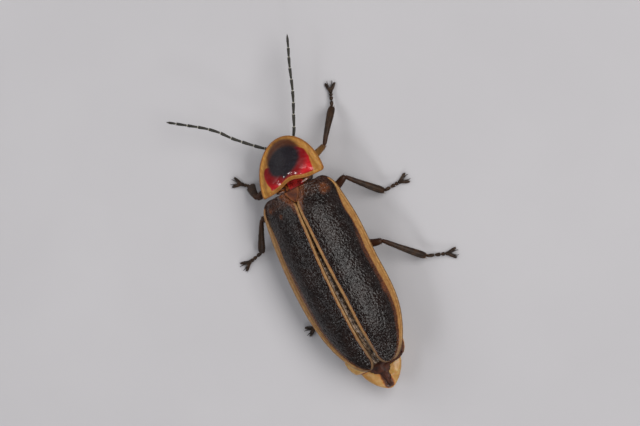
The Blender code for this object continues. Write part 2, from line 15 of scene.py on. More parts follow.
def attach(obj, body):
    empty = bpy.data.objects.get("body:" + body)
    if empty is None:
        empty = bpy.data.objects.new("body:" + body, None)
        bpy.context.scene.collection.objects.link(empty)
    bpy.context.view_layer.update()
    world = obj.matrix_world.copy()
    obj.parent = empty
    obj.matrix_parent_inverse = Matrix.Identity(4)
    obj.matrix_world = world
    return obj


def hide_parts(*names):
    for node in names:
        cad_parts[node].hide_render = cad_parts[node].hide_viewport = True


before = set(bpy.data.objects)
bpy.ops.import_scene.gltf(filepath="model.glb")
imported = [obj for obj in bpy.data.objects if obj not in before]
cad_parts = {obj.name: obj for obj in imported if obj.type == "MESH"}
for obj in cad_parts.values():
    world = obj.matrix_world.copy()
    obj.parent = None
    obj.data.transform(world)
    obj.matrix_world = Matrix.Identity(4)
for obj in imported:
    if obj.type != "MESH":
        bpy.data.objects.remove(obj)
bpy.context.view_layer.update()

MM = 0.001
UP = np.array((0.0, 0.0, 1.0))
SIDES = ((1, "left"), (-1, "right"))

# The solids' own sizes, as in the part's source
MIDLINE_X = 0.68
CASE_FRONT_Y = -2.02
CASE_LENGTH = 10.02
CASE_HALF_WIDTH = 2.33
CASE_WIDEST = 0.47
CASE_BOW = 0.88
CASE_SHOULDER_X = 1.35
CASE_SHOULDER = 0.08
CASE_APEX_X = 0.5
CASE_TAPER_FROM = 0.55
CASE_CROWN_Z = 3.35
CASE_MARGIN_Z = 1.95
CASE_TIP_Z = 2.3
CASE_FLANGE = 0.93
CASE_SPLAY = 0.21
CASE_SHOULDER_SPLAY = 0.12
SCUTELLUM_ROOM = 0.4
SCUTELLUM_SHARE = 0.09
SHIELD_AT = (-0.2, -2.32)
SHIELD_TURN = -1.0
SHIELD_LEAN = 0.12
SHIELD_HALF_WIDTH = 1.75
SHIELD_LENGTH = 2.38
SHIELD_EDGE_Z = 2.12
SHIELD_DROP = 0.05
SHIELD_DOME = 0.82
SHIELD_CORNER = 0.1
SHIELD_BAY = 0.26
SHIELD_BAY_WIDTH = 0.36
HEAD_AT = np.array((-0.28, -3.62, 1.2))
BELLY_Z = 0.62
BACK_Z = 1.56
TAIL_SHIFT = 0.13

# The inner edges of the two cases: shares of their length, and distances from the middle
SEAM_SHARES = (0.0, 0.08, 0.2, 0.33, 0.47, 0.61, 0.74, 0.87, 1.0)
SEAM_LEFT = (0.03, 0.02, 0.06, 0.145, 0.215, 0.245, 0.22, 0.2, 0.16)
SEAM_RIGHT = (0.03, 0.01, 0.03, 0.03, 0.055, 0.1, 0.11, 0.11, 0.1)

# The lantern's cross-sections
LANTERN_Y = (6.93, 6.98, 7.2, 7.5, 7.76, 7.96, 8.03, 8.09, 8.3, 8.6, 8.9, 9.12, 9.26, 9.33)
LANTERN_HALF = (1.3, 1.56, 1.66, 1.62, 1.52, 1.38, 1.17, 1.12, 1.06, 0.9, 0.68, 0.44, 0.24, 0.08)
LANTERN_LOW = (0.8, 0.66, 0.62, 0.62, 0.63, 0.65, 0.69, 0.71, 0.71, 0.74, 0.8, 0.87, 0.92, 0.98)
LANTERN_HIGH = (1.2, 1.3, 1.34, 1.36, 1.36, 1.36, 1.33, 1.31, 1.32, 1.29, 1.23, 1.15, 1.1, 1.02)

# The half width of the dark plate on the tail's back
TAIL_PLATE_Y = (7.0, 7.7, 7.98, 8.12, 8.3, 8.5, 8.9, 9.15, 9.2)
TAIL_PLATE_HALF = (0.95, 1.0, 0.85, 0.56, 0.36, 0.18, 0.13, 0.09, 0.04)

# name: root on the trunk, knee, ankle, tip of the foot between its claws
LEGS = {
    "front_left": ((0.42, -2.78, 0.8), (1.98, -2.42, 1.28), (2.19, -3.12, 0.34), (2.98, -3.74)),
    "front_right": ((-0.86, -2.84, 0.8), (-2.34, -3.32, 1.25), (-3.44, -4.92, 0.32), (-3.86, -6.1)),
    "middle_left": ((0.62, -0.6, 0.74), (2.28, -1.36, 1.2), (3.2, 0.16, 0.32), (4.48, 0.44)),
    "middle_right": ((-0.62, -0.6, 0.74), (-2.56, -1.44, 1.2), (-3.92, 0.12, 0.32), (-5.3, 0.03)),
    "hind_left": ((0.68, 0.95, 0.74), (2.2, 2.85, 0.92), (2.08, 4.8, 0.32), (2.98, 4.9)),
    "hind_right": ((-0.68, 0.95, 0.74), (-2.8, 2.32, 1.15), (-4.36, 4.06, 0.32), (-5.84, 4.6)),
}

# How tan and how stout the thigh is, how broad the shin, and how far the thigh bows backwards
LEG_BUILD = {
    "front_left": (0.0, 1.0, 1.35, 0.0),
    "front_right": (0.9, 0.8, 1.0, 0.0),
    "hind_right": (0.0, 1.0, 1.0, 0.3),
}
PLAIN_BUILD = (0.0, 1.0, 1.0, 0.0)

# How far down the foot its toe joints end, and their thickness
TOE_ENDS = (0.0, 0.42, 0.7, 0.9, 1.06)
TOE_THICKNESS = (0.088, 0.092, 0.096, 0.1)
LOBE_TURN = 29.0

# Where the feelers' joints lie, from the head to the tip
FEELERS = {
    "antenna_left": (
        (-0.07, -4.26, 1.12), (0.34, -4.44, 1.1), (0.52, -4.54, 1.1), (0.96, -4.92, 1.12),
        (1.42, -5.37, 1.16), (1.83, -5.79, 1.21), (2.2, -6.26, 1.26), (2.65, -6.7, 1.31),
        (3.1, -7.05, 1.36), (3.55, -7.37, 1.4), (4.02, -7.7, 1.44), (4.42, -7.98, 1.46),
    ),
    "antenna_right": (
        (-0.49, -4.26, 1.12), (-0.92, -4.34, 1.1), (-1.08, -4.42, 1.1), (-1.35, -4.87, 1.12),
        (-1.62, -5.45, 1.16), (-1.89, -5.99, 1.22), (-2.14, -6.55, 1.28), (-2.35, -7.1, 1.33),
        (-2.55, -7.65, 1.38), (-2.76, -8.17, 1.42), (-2.95, -8.6, 1.44), (-3.2, -9.22, 1.46),
    ),
}

# How many hairs a case or a feeler bears, and the length and width of each hair
HAIRS_PER_CASE = 3600
HAIRS_PER_FEELER = 460
CASE_HAIR = (0.12, 0.008)
FEELER_HAIR_LENGTH = 0.07
LEG_HAIR_LENGTH = 0.1
LIMB_HAIR_WIDTH = 0.009

# Lights: name, lean to the animal's left and towards its tail in degrees, width and length in
# metres, brightness and colour
LIGHTS = (
    ("key", -35.0, 4.0, 0.16, 0.4, 4.5, (1.0, 0.99, 0.97)),
    ("fill", 43.0, -9.0, 0.08, 0.18, 4.2, (0.96, 0.98, 1.0)),
    ("front", 36.0, -56.0, 0.2, 0.16, 2.2, (1.0, 0.99, 0.98)),
    ("back", 31.0, 63.0, 0.06, 0.04, 24.0, (1.0, 1.0, 1.0)),
)
LIGHT_DISTANCE = 0.3
SKY_COLOUR = (0.93, 0.95, 1.0, 1.0)
SKY_BRIGHTNESS = 0.1
FLOOR_HALF = 0.6

# The photograph's view: leans to the animal's right and turns its head up and left
CAMERA_TILT = 9.6
CAMERA_ROLL = 26.4
CAMERA_DISTANCE = 250.0
CAMERA_AIM = (MIDLINE_X - 0.664, -0.323, 1.7)
VIEW_PIXELS = 640
PIXELS_PER_MM = 19.57
SENSOR_WIDTH = 36.0


# Small maths


def smooth(t):
    """0 below 0, 1 above 1, and an S-shaped curve between."""
    t = np.clip(t, 0.0, 1.0)
    return t * t * (3.0 - 2.0 * t)


def rise(value, start, over):
    """0 up to start, 1 from over beyond it, and an S-shaped curve between."""
    return smooth((value - start) / over)


def fade(value, start, over):
    """1 up to start, 0 from over beyond it, and an S-shaped curve between."""
    return 1.0 - smooth((value - start) / over)


def rounded(t, power, root):
    """A superellipse's arm: 1 at t = 0, falling to 0 at t = 1."""
    return (1.0 - np.clip(t, 0.0, 1.0) ** power) ** (1.0 / root)


def capped(share, power, root):
    """1 along the middle of a length, rounded off to 0 at both its ends."""
    return rounded(np.abs(share - 0.5) * 2, power, root)


def bell(t, width):
    """A soft hump of height 1 at t = 0 that has faded at about twice its width."""
    return np.exp(-((t / width) ** 2))


def most(*values):
    """The greatest of several painted values at each point."""
    return np.maximum.reduce(values)


def joined(x, y, z):
    """Points from their three coordinates, each spread over the others' rows and columns."""
    return np.stack(np.broadcast_arrays(x, y, z), axis=-1)


def through(points, at):
    """Points on one smooth curve through the given ones (Catmull-Rom), at their numbers."""
    points = np.array(points, float)
    padded = np.vstack([2 * points[0] - points[1], points, 2 * points[-1] - points[-2]])
    start = np.minimum(at.astype(int), len(points) - 2)
    t = (at - start)[:, None]
    a, b, c, d = (padded[start + k] for k in range(4))
    return 0.5 * (
        2 * b + (c - a) * t + (2 * a - 5 * b + 4 * c - d) * t**2 + (3 * b - a - 3 * c + d) * t**3
    )


def ripple(u, v, seed):
    """Smooth random heights from -1 to 1: a lattice of random numbers, blended by an
    S-shaped curve from each lattice point to the next."""
    size = 64
    table = np.random.default_rng(seed).uniform(-1.0, 1.0, (size, size))
    u, v = np.broadcast_arrays(u, v)
    i, j = np.floor(u).astype(int), np.floor(v).astype(int)
    a, b = smooth(u - i), smooth(v - j)
    ahead = [(1 - b) * table[row % size, j % size] + b * table[row % size, (j + 1) % size]
             for row in (i, i + 1)]
    return (1 - a) * ahead[0] + a * ahead[1]


def unit(vectors):
    return vectors / np.linalg.norm(vectors, axis=-1, keepdims=True)


# Surfaces


def grid_quads(rows, columns, wrap):
    """Quads between neighbouring points of a grid; wrap joins its last column to its first."""
    row, column = np.meshgrid(
        np.arange(rows - 1), np.arange(columns if wrap else columns - 1), indexing="ij"
    )
    after = (column + 1) % columns
    corners = [row * columns + column, row * columns + after]
    corners += [(row + 1) * columns + after, (row + 1) * columns + column]
    return np.stack(corners, axis=-1).reshape(-1, 4)


def rim_of(rows, columns):
    """The grid's outer points in order."""
    return np.concatenate([
        np.arange(columns),
        np.arange(1, rows) * columns + columns - 1,
        (rows - 1) * columns + np.arange(columns - 2, -1, -1),
        np.arange(rows - 2, 0, -1) * columns,
    ])


def show(name, data):
    """Adds an object with this data to the scene."""
    made = bpy.data.objects.new(name, data)
    bpy.context.scene.collection.objects.link(made)
    return made


class Skin:
    """Gathers closed surfaces into one mesh, with the painted values of every point."""

    def __init__(self, *paints):
        self.points, self.quads, self.tris = [], [], []
        self.paints = {name: [] for name in paints}
        self.count = 0

    def add(self, points, quads, tris, paint):
        """Adds a closed surface, turned the right way out by the sign of its volume."""
        corners = np.vstack([quads[:, [0, 1, 2]], quads[:, [0, 2, 3]], tris])
        a, b, c = (points[corners[:, k]] for k in range(3))
        if np.einsum("ij,ij->", a - points[0], np.cross(b - points[0], c - points[0])) < 0:
            quads, tris = quads[:, ::-1], tris[:, ::-1]
        self.points.append(points)
        self.quads.append(quads + self.count)
        self.tris.append(tris + self.count)
        for name, values in self.paints.items():
            values.append(np.broadcast_to(paint.get(name, 0.0), len(points)))
        self.count += len(points)

    def rings(self, rings, **paint):
        """Closes a stack of rings with a point in the middle of its first and last. A painted
        value is one number, one for each ring or one for each point."""
        rows, sides = rings.shape[:2]
        points = np.vstack([rings.reshape(-1, 3), rings[0].mean(0), rings[-1].mean(0)])
        turn = np.arange(sides)
        after = (turn + 1) % sides
        first, last = np.full(sides, rows * sides), np.full(sides, rows * sides + 1)
        tris = np.vstack([
            np.stack([first, after, turn], axis=1),
            np.stack([last, (rows - 1) * sides + turn, (rows - 1) * sides + after], axis=1),
        ])
        spread = {}
        for name, value in paint.items():
            value = np.broadcast_to(value[:, None] if np.ndim(value) == 1 else value, (rows, sides))
            spread[name] = np.concatenate([value.ravel(), [value[0].mean(), value[-1].mean()]])
        self.add(points, grid_quads(rows, sides, True), tris, spread)

    def tube(self, route, wide, high=None, sides=14, **paint):
        """Carries an ellipse along a route, with the half axes wide, which lies level, and
        high. Returns the rings, their outward directions and the route's direction."""
        high = wide if high is None else high
        along = unit(np.gradient(route, axis=0))
        across = unit(np.cross(along, UP))
        upward = np.cross(across, along)
        angle = np.linspace(0.0, 2 * math.pi, sides, endpoint=False)
        outward = np.cos(angle)[:, None] * across[:, None] + np.sin(angle)[:, None] * upward[:, None]
        reach = wide[:, None, None] * np.cos(angle)[:, None] * across[:, None]
        reach = reach + high[:, None, None] * np.sin(angle)[:, None] * upward[:, None]
        rings = route[:, None] + reach
        self.rings(rings, **paint)
        return rings, outward, along

    def plate(self, top, thick, **paint):
        """A thin plate: a grid, the same grid a thickness lower, and a rounded rim whose
        middle stands out by a third of the thickness."""
        rows, columns = top.shape[:2]
        rim = rim_of(rows, columns)
        flat_top = top.reshape(-1, 3)
        edge = flat_top[rim]
        ahead = unit(np.roll(edge, -1, axis=0) - np.roll(edge, 1, axis=0) + 1e-9)
        outward = np.cross(ahead, UP)
        if np.einsum("ij,ij->", outward, edge - edge.mean(0)) < 0:
            outward = -outward
        bulge = edge + outward * thick / 3 - (0.0, 0.0, 0.5 * thick)
        points = np.vstack([flat_top, flat_top - (0.0, 0.0, thick), bulge])
        under, waist = rows * columns, 2 * rows * columns
        quads = grid_quads(rows, columns, False)
        here, after = np.arange(len(rim)), np.roll(np.arange(len(rim)), -1)
        upper = np.stack([rim, waist + here, waist + after, rim[after]], axis=1)
        lower = np.stack([waist + here, under + rim, under + rim[after], waist + after], axis=1)
        spread = {}
        for name, value in paint.items():
            value = np.broadcast_to(value, (rows, columns)).ravel()
            spread[name] = np.concatenate([value, value, value[rim]])
        faces = np.vstack([quads, under + quads[:, ::-1], upper[:, ::-1], lower[:, ::-1]])
        self.add(points, faces, np.zeros((0, 3), int), spread)

    def piece(self, name, finish, slot, *nodes, uv=None):
        """Makes the mesh object in its place, riding on the body and standing for its nodes."""
        points = (np.vstack(self.points) + (MIDLINE_X, 0.0, 0.0)) * MM
        quads, tris = np.vstack(self.quads), np.vstack(self.tris)
        mesh = bpy.data.meshes.new(name)
        mesh.from_pydata(points.tolist(), [], quads.tolist() + tris.tolist())
        for paint, values in self.paints.items():
            layer = mesh.attributes.new(paint, "FLOAT", "POINT")
            layer.data.foreach_set("value", np.concatenate(values).astype(np.float32))
        if uv is not None:
            layer = mesh.uv_layers.new(name="OFBake")
            corner = np.empty(len(mesh.loops), np.int32)
            mesh.loops.foreach_get("vertex_index", corner)
            layer.data.foreach_set("uv", uv[corner].astype(np.float32).ravel())
        mesh.polygons.foreach_set("use_smooth", np.ones(len(mesh.polygons), bool))
        mesh.materials.append(finish)
        made = show(name, mesh)
        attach(made, "root")
        if nodes:
            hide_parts(*nodes)


def hair_piece(name, finish, slot, roots, lean, outward, length, width, uv, seed):
    """Joins many short hairs: each is a slim three-sided spike whose base sits a little under
    the surface, and whose tip is its length away along lean, bent a little outwards."""
    random = np.random.default_rng(seed)
    count = len(roots)
    length = length * random.uniform(0.7, 1.3, (count, 1))
    side = unit(np.cross(lean, outward))
    sway = random.normal(0.0, 0.18, (count, 1))
    lift = random.uniform(0.12, 0.34, (count, 1))
    way = unit(lean + side * sway + outward * lift)
    base = roots - outward * 0.5 * width
    points = np.stack([
        base + side * width * 0.5, base - side * width * 0.5,
        base + outward * width * 0.7 + way * width, roots + way * length,
    ], axis=1).reshape(-1, 3)
    start = 4 * np.arange(count)[:, None]
    tris = np.vstack([start + corners for corners in ((0, 1, 3), (1, 2, 3), (2, 0, 3), (0, 2, 1))])
    skin = Skin()
    skin.points, skin.tris, skin.quads = [points], [tris], [np.zeros((0, 4), int)]
    patch = 0.0015 * np.array([(-1, -1), (1, -1), (0, 1), (0, 0)])
    corners = (0.004 + 0.992 * uv[:, None, :] + patch[None]).reshape(-1, 2)
    skin.piece(name, finish, slot, uv=corners)


# Shader maths


def operator(operation, turned=False):
    """A method that adds a Math node; turned puts the other value before the flow's own."""
    def act(flow, other):
        first, second = (other, flow) if turned else (flow, other)
        return flow.finish.node("ShaderNodeMath", {"operation": operation}, {0: first, 1: second})
    return act


class Flow:
    """A shader socket that takes part in sums and products like a number."""

    def __init__(self, finish, socket):
        self.finish, self.socket = finish, socket

    __add__ = __radd__ = operator("ADD")
    __mul__ = __rmul__ = operator("MULTIPLY")
    __sub__, __rsub__ = operator("SUBTRACT"), operator("SUBTRACT", turned=True)

    def step(self, low, high):
        """0 below low, 1 above high, and an S-shaped curve between."""
        return self.finish.node(
            "ShaderNodeMapRange", {"interpolation_type": "SMOOTHSTEP"},
            {"Value": self, "From Min": low, "From Max": high},
        )


class Finish:
    """One material, built node by node onto its Principled shader."""

    def __init__(self, name, **constants):
        self.material = bpy.data.materials.new(name)
        self.material.use_nodes = True
        self.tree = self.material.node_tree
        self.shader = self.tree.nodes["Principled BSDF"]
        self.feed(**constants)

    def feed(self, **sockets):
        """Sets or links the shader's own sockets, named with _ for each space."""
        for name, value in sockets.items():
            self.join(self.shader.inputs[name.replace("_", " ")], value)
        return self.material

    def join(self, socket, value):
        if isinstance(value, Flow):
            self.tree.links.new(value.socket, socket)
        elif isinstance(value, tuple) and len(value) == 3 and socket.type == "RGBA":
            socket.default_value = (*value, 1.0)
        else:
            socket.default_value = value

    def node(self, kind, settings, inputs, output=0):
        """A node of this kind, with its settings made first and then its sockets' values."""
        made = self.tree.nodes.new(kind)
        for key, value in settings.items():
            setattr(made, key, value)
        for key, value in inputs.items():
            self.join(made.inputs[key], value)
        return Flow(self, made.outputs[output])

    def mix(self, share, first, second):
        """The first colour where share is 0, the second where it is 1. The Mix node has a set
        of sockets for each kind of value, and its colours are inputs 6 and 7 and output 2."""
        return self.node("ShaderNodeMix", {"data_type": "RGBA"}, {0: share, 6: first, 7: second}, 2)

    def painted(self, name):
        """A value painted on the mesh."""
        return self.node("ShaderNodeAttribute", {"attribute_name": name}, {}, "Fac")

    def spot(self, stretch=(1.0, 1.0, 1.0)):
        """The point's own place on the object, in metres, stretched."""
        place = self.node("ShaderNodeTexCoord", {}, {}, "Object")
        return self.node("ShaderNodeMapping", {}, {"Vector": place, "Scale": stretch})

    def noise(self, size, detail=3.0, rough=0.55, stretch=(1.0, 1.0, 1.0)):
        """Soft random patches about this many millimetres across."""
        return self.node("ShaderNodeTexNoise", {}, {
            "Vector": self.spot(stretch), "Scale": 1.0 / (size * MM),
            "Detail": detail, "Roughness": rough,
        })

    def cells(self, size):
        """The distance from the nearest of many scattered points this many millimetres apart."""
        scale = 1.0 / (size * MM)
        return self.node("ShaderNodeTexVoronoi", {}, {"Vector": self.spot(), "Scale": scale})

    def pricks(self):
        """The fine pricked grain of chitin."""
        return self.cells(0.06) * 0.7 + self.noise(0.05, 3.0) * 0.5

    def surface(self, colour, rough, height, depth, strength=1.0, **more):
        """Feeds the shader a colour, a roughness and a relief: height times depth, in
        millimetres."""
        relief = {"Height": height, "Distance": depth * MM, "Strength": strength}
        normal = self.node("ShaderNodeBump", {}, relief)
        return self.feed(Base_Color=colour, Roughness=rough, Normal=normal, **more)


# Finishes


def case_finish():
    """Dark grainy leather with faint grey flecks of painted sheen, a tan rim and seam that darken where
    painted, with painted shade on the left case's rim, and rusty stains at the shoulder.
    """
    look = Finish("wing_case_leather", Specular_IOR_Level=0.38)
    ragged = look.noise(0.3, 4.0) * 0.3 - 0.15
    fine = look.noise(0.08, 2.0)
    pale = (look.painted("pale") + ragged).step(0.25, 0.85)
    rust = (look.painted("rust") + ragged).step(0.2, 0.9)
    patches = look.noise(0.9, 3.0).step(0.35, 0.7)
    dark = look.mix(patches, (0.005, 0.0016, 0.0011), (0.012, 0.004, 0.0024))
    # Faint grey flecks over the dark leather, the same everywhere: a trace of painted sheen.
    dark = look.mix(fine.step(0.5, 0.8) * 0.25, dark, (0.02, 0.019, 0.016))
    warm = look.mix(fine.step(0.3, 0.7), (0.085, 0.021, 0.007), (0.22, 0.065, 0.016))
    grain = look.noise(0.16, 3.0).step(0.35, 0.7)
    tan = look.mix(grain, (0.36, 0.165, 0.04), (0.5, 0.27, 0.08))
    # The painted value darkens the tan along the seam and towards the tip, and on the left case's rim as
    # painted shade.
    tan = look.mix(look.painted("dull"), tan, (0.1, 0.058, 0.03))
    edge = look.mix(pale.step(0.35, 0.95), warm, tan)
    colour = look.mix(rust * 0.8, dark, warm)
    colour = look.mix(pale.step(0.0, 0.45), colour, edge)
    height = look.cells(0.13) * -0.5 + look.noise(0.115, 1.0) * 1.3
    rough = 0.17 + look.noise(0.1, 1.0).step(0.4, 0.6) * 0.13 + pale * 0.2
    return look.surface(colour, rough, height * (1.0 - pale * 0.7), depth=0.038)


def shield_finish():
    """Horn: a tan see-through rim, rosy flanks, a brown cloud and a soft black spot."""
    look = Finish("shield_horn", Specular_IOR_Level=0.2, Subsurface_Weight=0.1,
                  Subsurface_Scale=0.00012, Coat_Roughness=0.1)
    ragged = look.noise(0.3, 4.0) * 0.3 - 0.15
    rosy = (look.painted("rosy") + ragged * 0.9).step(0.25, 0.7)
    cloud = (look.painted("cloud") + ragged * 1.2).step(0.1, 0.95)
    black = (look.painted("black") + ragged).step(0.15, 0.85)
    fine = look.noise(0.07, 3.0)
    streak = look.noise(0.12, 3.0, 0.6, (1.0, 0.35, 1.0))
    tan = look.mix(streak.step(0.3, 0.75), (0.33, 0.14, 0.025), (0.5, 0.255, 0.06))
    tan = look.mix(look.painted("amber") * 0.75, tan, (0.22, 0.07, 0.012))
    patches = look.noise(0.4, 3.0).step(0.35, 0.65)
    rose = look.mix(patches, (0.4, 0.005, 0.01), (0.6, 0.012, 0.02))
    rose = look.mix(look.painted("deep") * 0.9, rose, (0.15, 0.002, 0.003))
    ink = look.mix(fine.step(0.5, 0.8) * 0.5, (0.009, 0.0065, 0.01), (0.04, 0.035, 0.045))
    colour = look.mix(cloud * 0.94, tan, (0.058, 0.017, 0.01))
    colour = look.mix(rosy, colour, rose)
    colour = look.mix(black, colour, ink)
    dents = look.cells(0.11) * 0.5 + look.noise(0.09, 3.0) * 0.5
    rough = 0.34 + streak * 0.12 + black * 0.06
    wet = look.painted("wet") * rosy * 0.8
    return look.surface(colour, rough, dents, depth=0.009, strength=0.8, Coat_Weight=wet)


def chitin_finish(name, low, high, rough=0.42, pale=(0.3, 0.17, 0.07), depth=0.012, coat=0.0,
                  shine=0.4):
    """Brown chitin between two tones, with a pale tone where painted and a pricked surface."""
    look = Finish(name, Specular_IOR_Level=shine, Coat_Weight=coat, Coat_Roughness=0.25)
    tone = look.mix(look.noise(0.25, 4.0).step(0.3, 0.7), low, high)
    light = (look.painted("pale") + look.noise(0.12, 3.0) * 0.3 - 0.15).step(0.25, 0.75)
    rough = rough + look.noise(0.09, 2.0) * 0.14
    return look.surface(look.mix(light, tone, pale), rough, look.pricks(), depth, 0.8)


def leg_finish():
    """Brown chitin, redder at the knees and tan on the thigh that is painted pale."""
    look = Finish("leg_chitin", Specular_IOR_Level=0.25)
    patches = look.noise(0.25, 4.0).step(0.3, 0.7)
    tone = look.mix(patches, (0.014, 0.006, 0.0022), (0.044, 0.019, 0.0065))
    tone = look.mix(look.painted("red") * 0.7, tone, (0.046, 0.0115, 0.0035))
    tan = (look.painted("pale") + look.noise(0.15, 3.0) * 0.3 - 0.15).step(0.2, 0.8)
    tone = look.mix(tan, tone, (0.26, 0.125, 0.035))
    rough = 0.38 + look.noise(0.1, 2.0) * 0.16
    return look.surface(tone, rough, look.pricks(), depth=0.012, strength=0.8)


def membrane_finish():
    """Moist rosy skin, painted darker in the hollows of its folds as painted shade, and brown where
    painted.
    """
    look = Finish("neck_membrane", Specular_IOR_Level=0.4, Coat_Weight=0.35, Coat_Roughness=0.15,
                  Subsurface_Weight=0.2, Subsurface_Scale=0.0001)
    folds = look.noise(0.22, 3.0, 0.6)
    # Dark where the folds sink and rosy where they rise, from the same noise as the relief: painted
    # shade in the hollows.
    rosy = look.mix(folds.step(0.4, 0.6), (0.1, 0.003, 0.002), (0.42, 0.02, 0.018))
    patches = look.noise(0.16, 3.0).step(0.4, 0.6)
    brown = look.mix(patches, (0.03, 0.006, 0.003), (0.24, 0.065, 0.012))
    share = (look.painted("brown") + folds * 0.6 - 0.3).step(0.25, 0.75)
    return look.surface(look.mix(share, rosy, brown), 0.22, folds, depth=0.04, strength=0.8)


def wing_finish():
    """Smoky film, its lighter patches partly painted light for the shade between the cases and for
    glints, with a bluish gloss on its creases.
    """
    look = Finish("wing_film", Specular_IOR_Level=0.5, Coat_Weight=0.3, Coat_Roughness=0.1)
    tone = look.noise(0.2, 4.0).step(0.42, 0.62)
    # Random dark and light tones of the film; the light one is brighter than the film's own colour, as
    # painted light for the shaded gap between the cases and its glints.
    colour = look.mix(tone, (0.05, 0.026, 0.014), (0.34, 0.24, 0.165))
    colour = look.mix(look.painted("pale") * 0.7, colour, (0.36, 0.2, 0.08))
    creases = look.noise(0.16, 3.0, 0.7, (1.0, 0.5, 1.0))
    return look.surface(colour, 0.2 + creases * 0.2, creases, depth=0.07)


def lantern_finish():
    """Cream wax with warm blotches, browner along the edges of its plates."""
    look = Finish("lantern_wax", Specular_IOR_Level=0.5, Subsurface_Weight=0.3,
                  Subsurface_Scale=0.0002, Coat_Weight=0.2, Coat_Roughness=0.25)
    blotch = look.noise(0.45, 4.0).step(0.35, 0.7)
    colour = look.mix(blotch, (0.4, 0.19, 0.038), (0.5, 0.31, 0.11))
    edge = (look.painted("brown") + look.noise(0.15, 3.0) * 0.4 - 0.2).step(0.3, 0.8)
    colour = look.mix(edge.step(0.0, 0.6), colour, (0.42, 0.125, 0.015))
    colour = look.mix(edge.step(0.35, 1.0) * 0.95, colour, (0.06, 0.016, 0.006))
    pits = look.noise(0.1, 4.0)
    return look.surface(colour, 0.34 + blotch * 0.1, pits, depth=0.02, strength=0.7)


def eye_finish():
    """Black glass broken into many small lenses."""
    look = Finish("eye_lenses", Specular_IOR_Level=0.7, Coat_Weight=0.6, Coat_Roughness=0.08)
    lenses = look.cells(0.032)
    # Darker between the lenses, where the relief sinks: painted shade in the grooves.
    colour = look.mix(lenses.step(0.2, 0.6), (0.012, 0.01, 0.012), (0.004, 0.004, 0.005))
    return look.surface(colour, 0.16 + lenses * 0.2, lenses * -1.0, depth=0.01)


def hair_finish(name, root, tip):
    """Fine hair that varies from one to the next."""
    look = Finish(name, Specular_IOR_Level=0.22)
    colour = look.mix(look.noise(0.12, 1.0).step(0.35, 0.65), root, tip)
    return look.feed(Base_Color=colour, Roughness=0.35 + look.noise(0.2, 1.0) * 0.1)


def floor_finish():
    """Plain pale ground."""
    look = Finish("pale_ground", Specular_IOR_Level=0.25)
    colour = look.mix(look.noise(9.0, 3.0), (0.48, 0.467, 0.485), (0.53, 0.517, 0.535))
    return look.feed(Base_Color=colour, Roughness=0.7)


# The wing cases


def case_edges(share, side):
    """Inner and outer edge of a case at a share of its length: the outer one bows out, rounds
    off at the shoulder and closes in at the tip; the inner one follows the open seam."""
    width = CASE_HALF_WIDTH * (1.0 - CASE_BOW * (share - CASE_WIDEST) ** 2)
    shoulder = rounded(1.0 - share / CASE_SHOULDER, 2.2, 2.2)
    outer = CASE_SHOULDER_X + (width - CASE_SHOULDER_X) * shoulder
    taper = rounded((share - CASE_TAPER_FROM) / (1.0 - CASE_TAPER_FROM), 3.0, 2.0)
    outer = CASE_APEX_X + 0.1 + (outer - CASE_APEX_X - 0.1) * taper
    if side < 0:
        outer = outer + CASE_SPLAY * rise(share, 0.42, 0.38)
        outer = outer + CASE_SHOULDER_SPLAY * fade(share, 0.22, 0.3)
    inner = np.interp(share, SEAM_SHARES, SEAM_LEFT if side > 0 else SEAM_RIGHT)
    beside_scutellum = SCUTELLUM_ROOM * fade(share, 0.0, SCUTELLUM_SHARE)
    apex = (CASE_APEX_X - inner) * (1.0 - rounded((share - 0.94) / 0.06, 2.0, 2.0))
    return inner + beside_scutellum + apex, outer


def case_height(across, share):
    """A vaulted back that ends in a narrow flat rim, low at the shoulders and at the tip."""
    vault = (1.0 - np.clip(across / CASE_FLANGE, 0.0, 1.0) ** 2.2) ** 0.85
    crown = CASE_CROWN_Z - 0.55 * fade(share, 0.0, 0.16) - 0.12 * np.abs(share - 0.4) / 0.4
    crown = crown - (CASE_CROWN_Z - 0.18 - CASE_TIP_Z) * rise(share, 0.72, 0.3) ** 1.3
    margin = CASE_MARGIN_Z + 0.14 * rise(share, 0.7, 0.3)
    seam_dip = 0.06 * fade(across, 0.0, 0.12)
    return margin + (crown - margin) * vault - seam_dip


def case_grid(side, rows, columns):
    """A case's upper face: the vault with a raised rim and seam, three very faint ribs and a
    slight wave. Also the shares of its length and width, and the distances from its edges."""
    share = np.sin(0.5 * math.pi * np.linspace(-1.0, 1.0, rows)) * 0.5 + 0.5
    share = (0.4 * share + 0.6 * np.linspace(0.0, 1.0, rows))[:, None]
    across = np.linspace(0.0, 1.0, columns)[None]
    inner, outer = case_edges(share, side)
    width = outer - inner
    x = inner + width * across
    inside, outside = across * width, (1.0 - across) * width
    wave = 0.005 * ripple(share * 34.0, across * 9.0, seed=3)
    wave = wave + 0.003 * ripple(share * 90.0, across * 26.0, seed=4)
    ribs = sum(0.006 * bell(across - at, 0.05) for at in (0.25, 0.45, 0.63))
    ribs = ribs * (rise(share, 0.0, 0.15) * fade(share, 0.7, 0.2))
    beads = 0.035 * bell(outside - 0.05, 0.05) + 0.025 * bell(inside - 0.05, 0.05)
    z = case_height(across, share) + wave * rise(outside, 0.0, 0.3) + ribs + beads
    top = joined(side * x, CASE_FRONT_Y + CASE_LENGTH * share, z)
    return top, *np.broadcast_arrays(share, across, inside, outside)


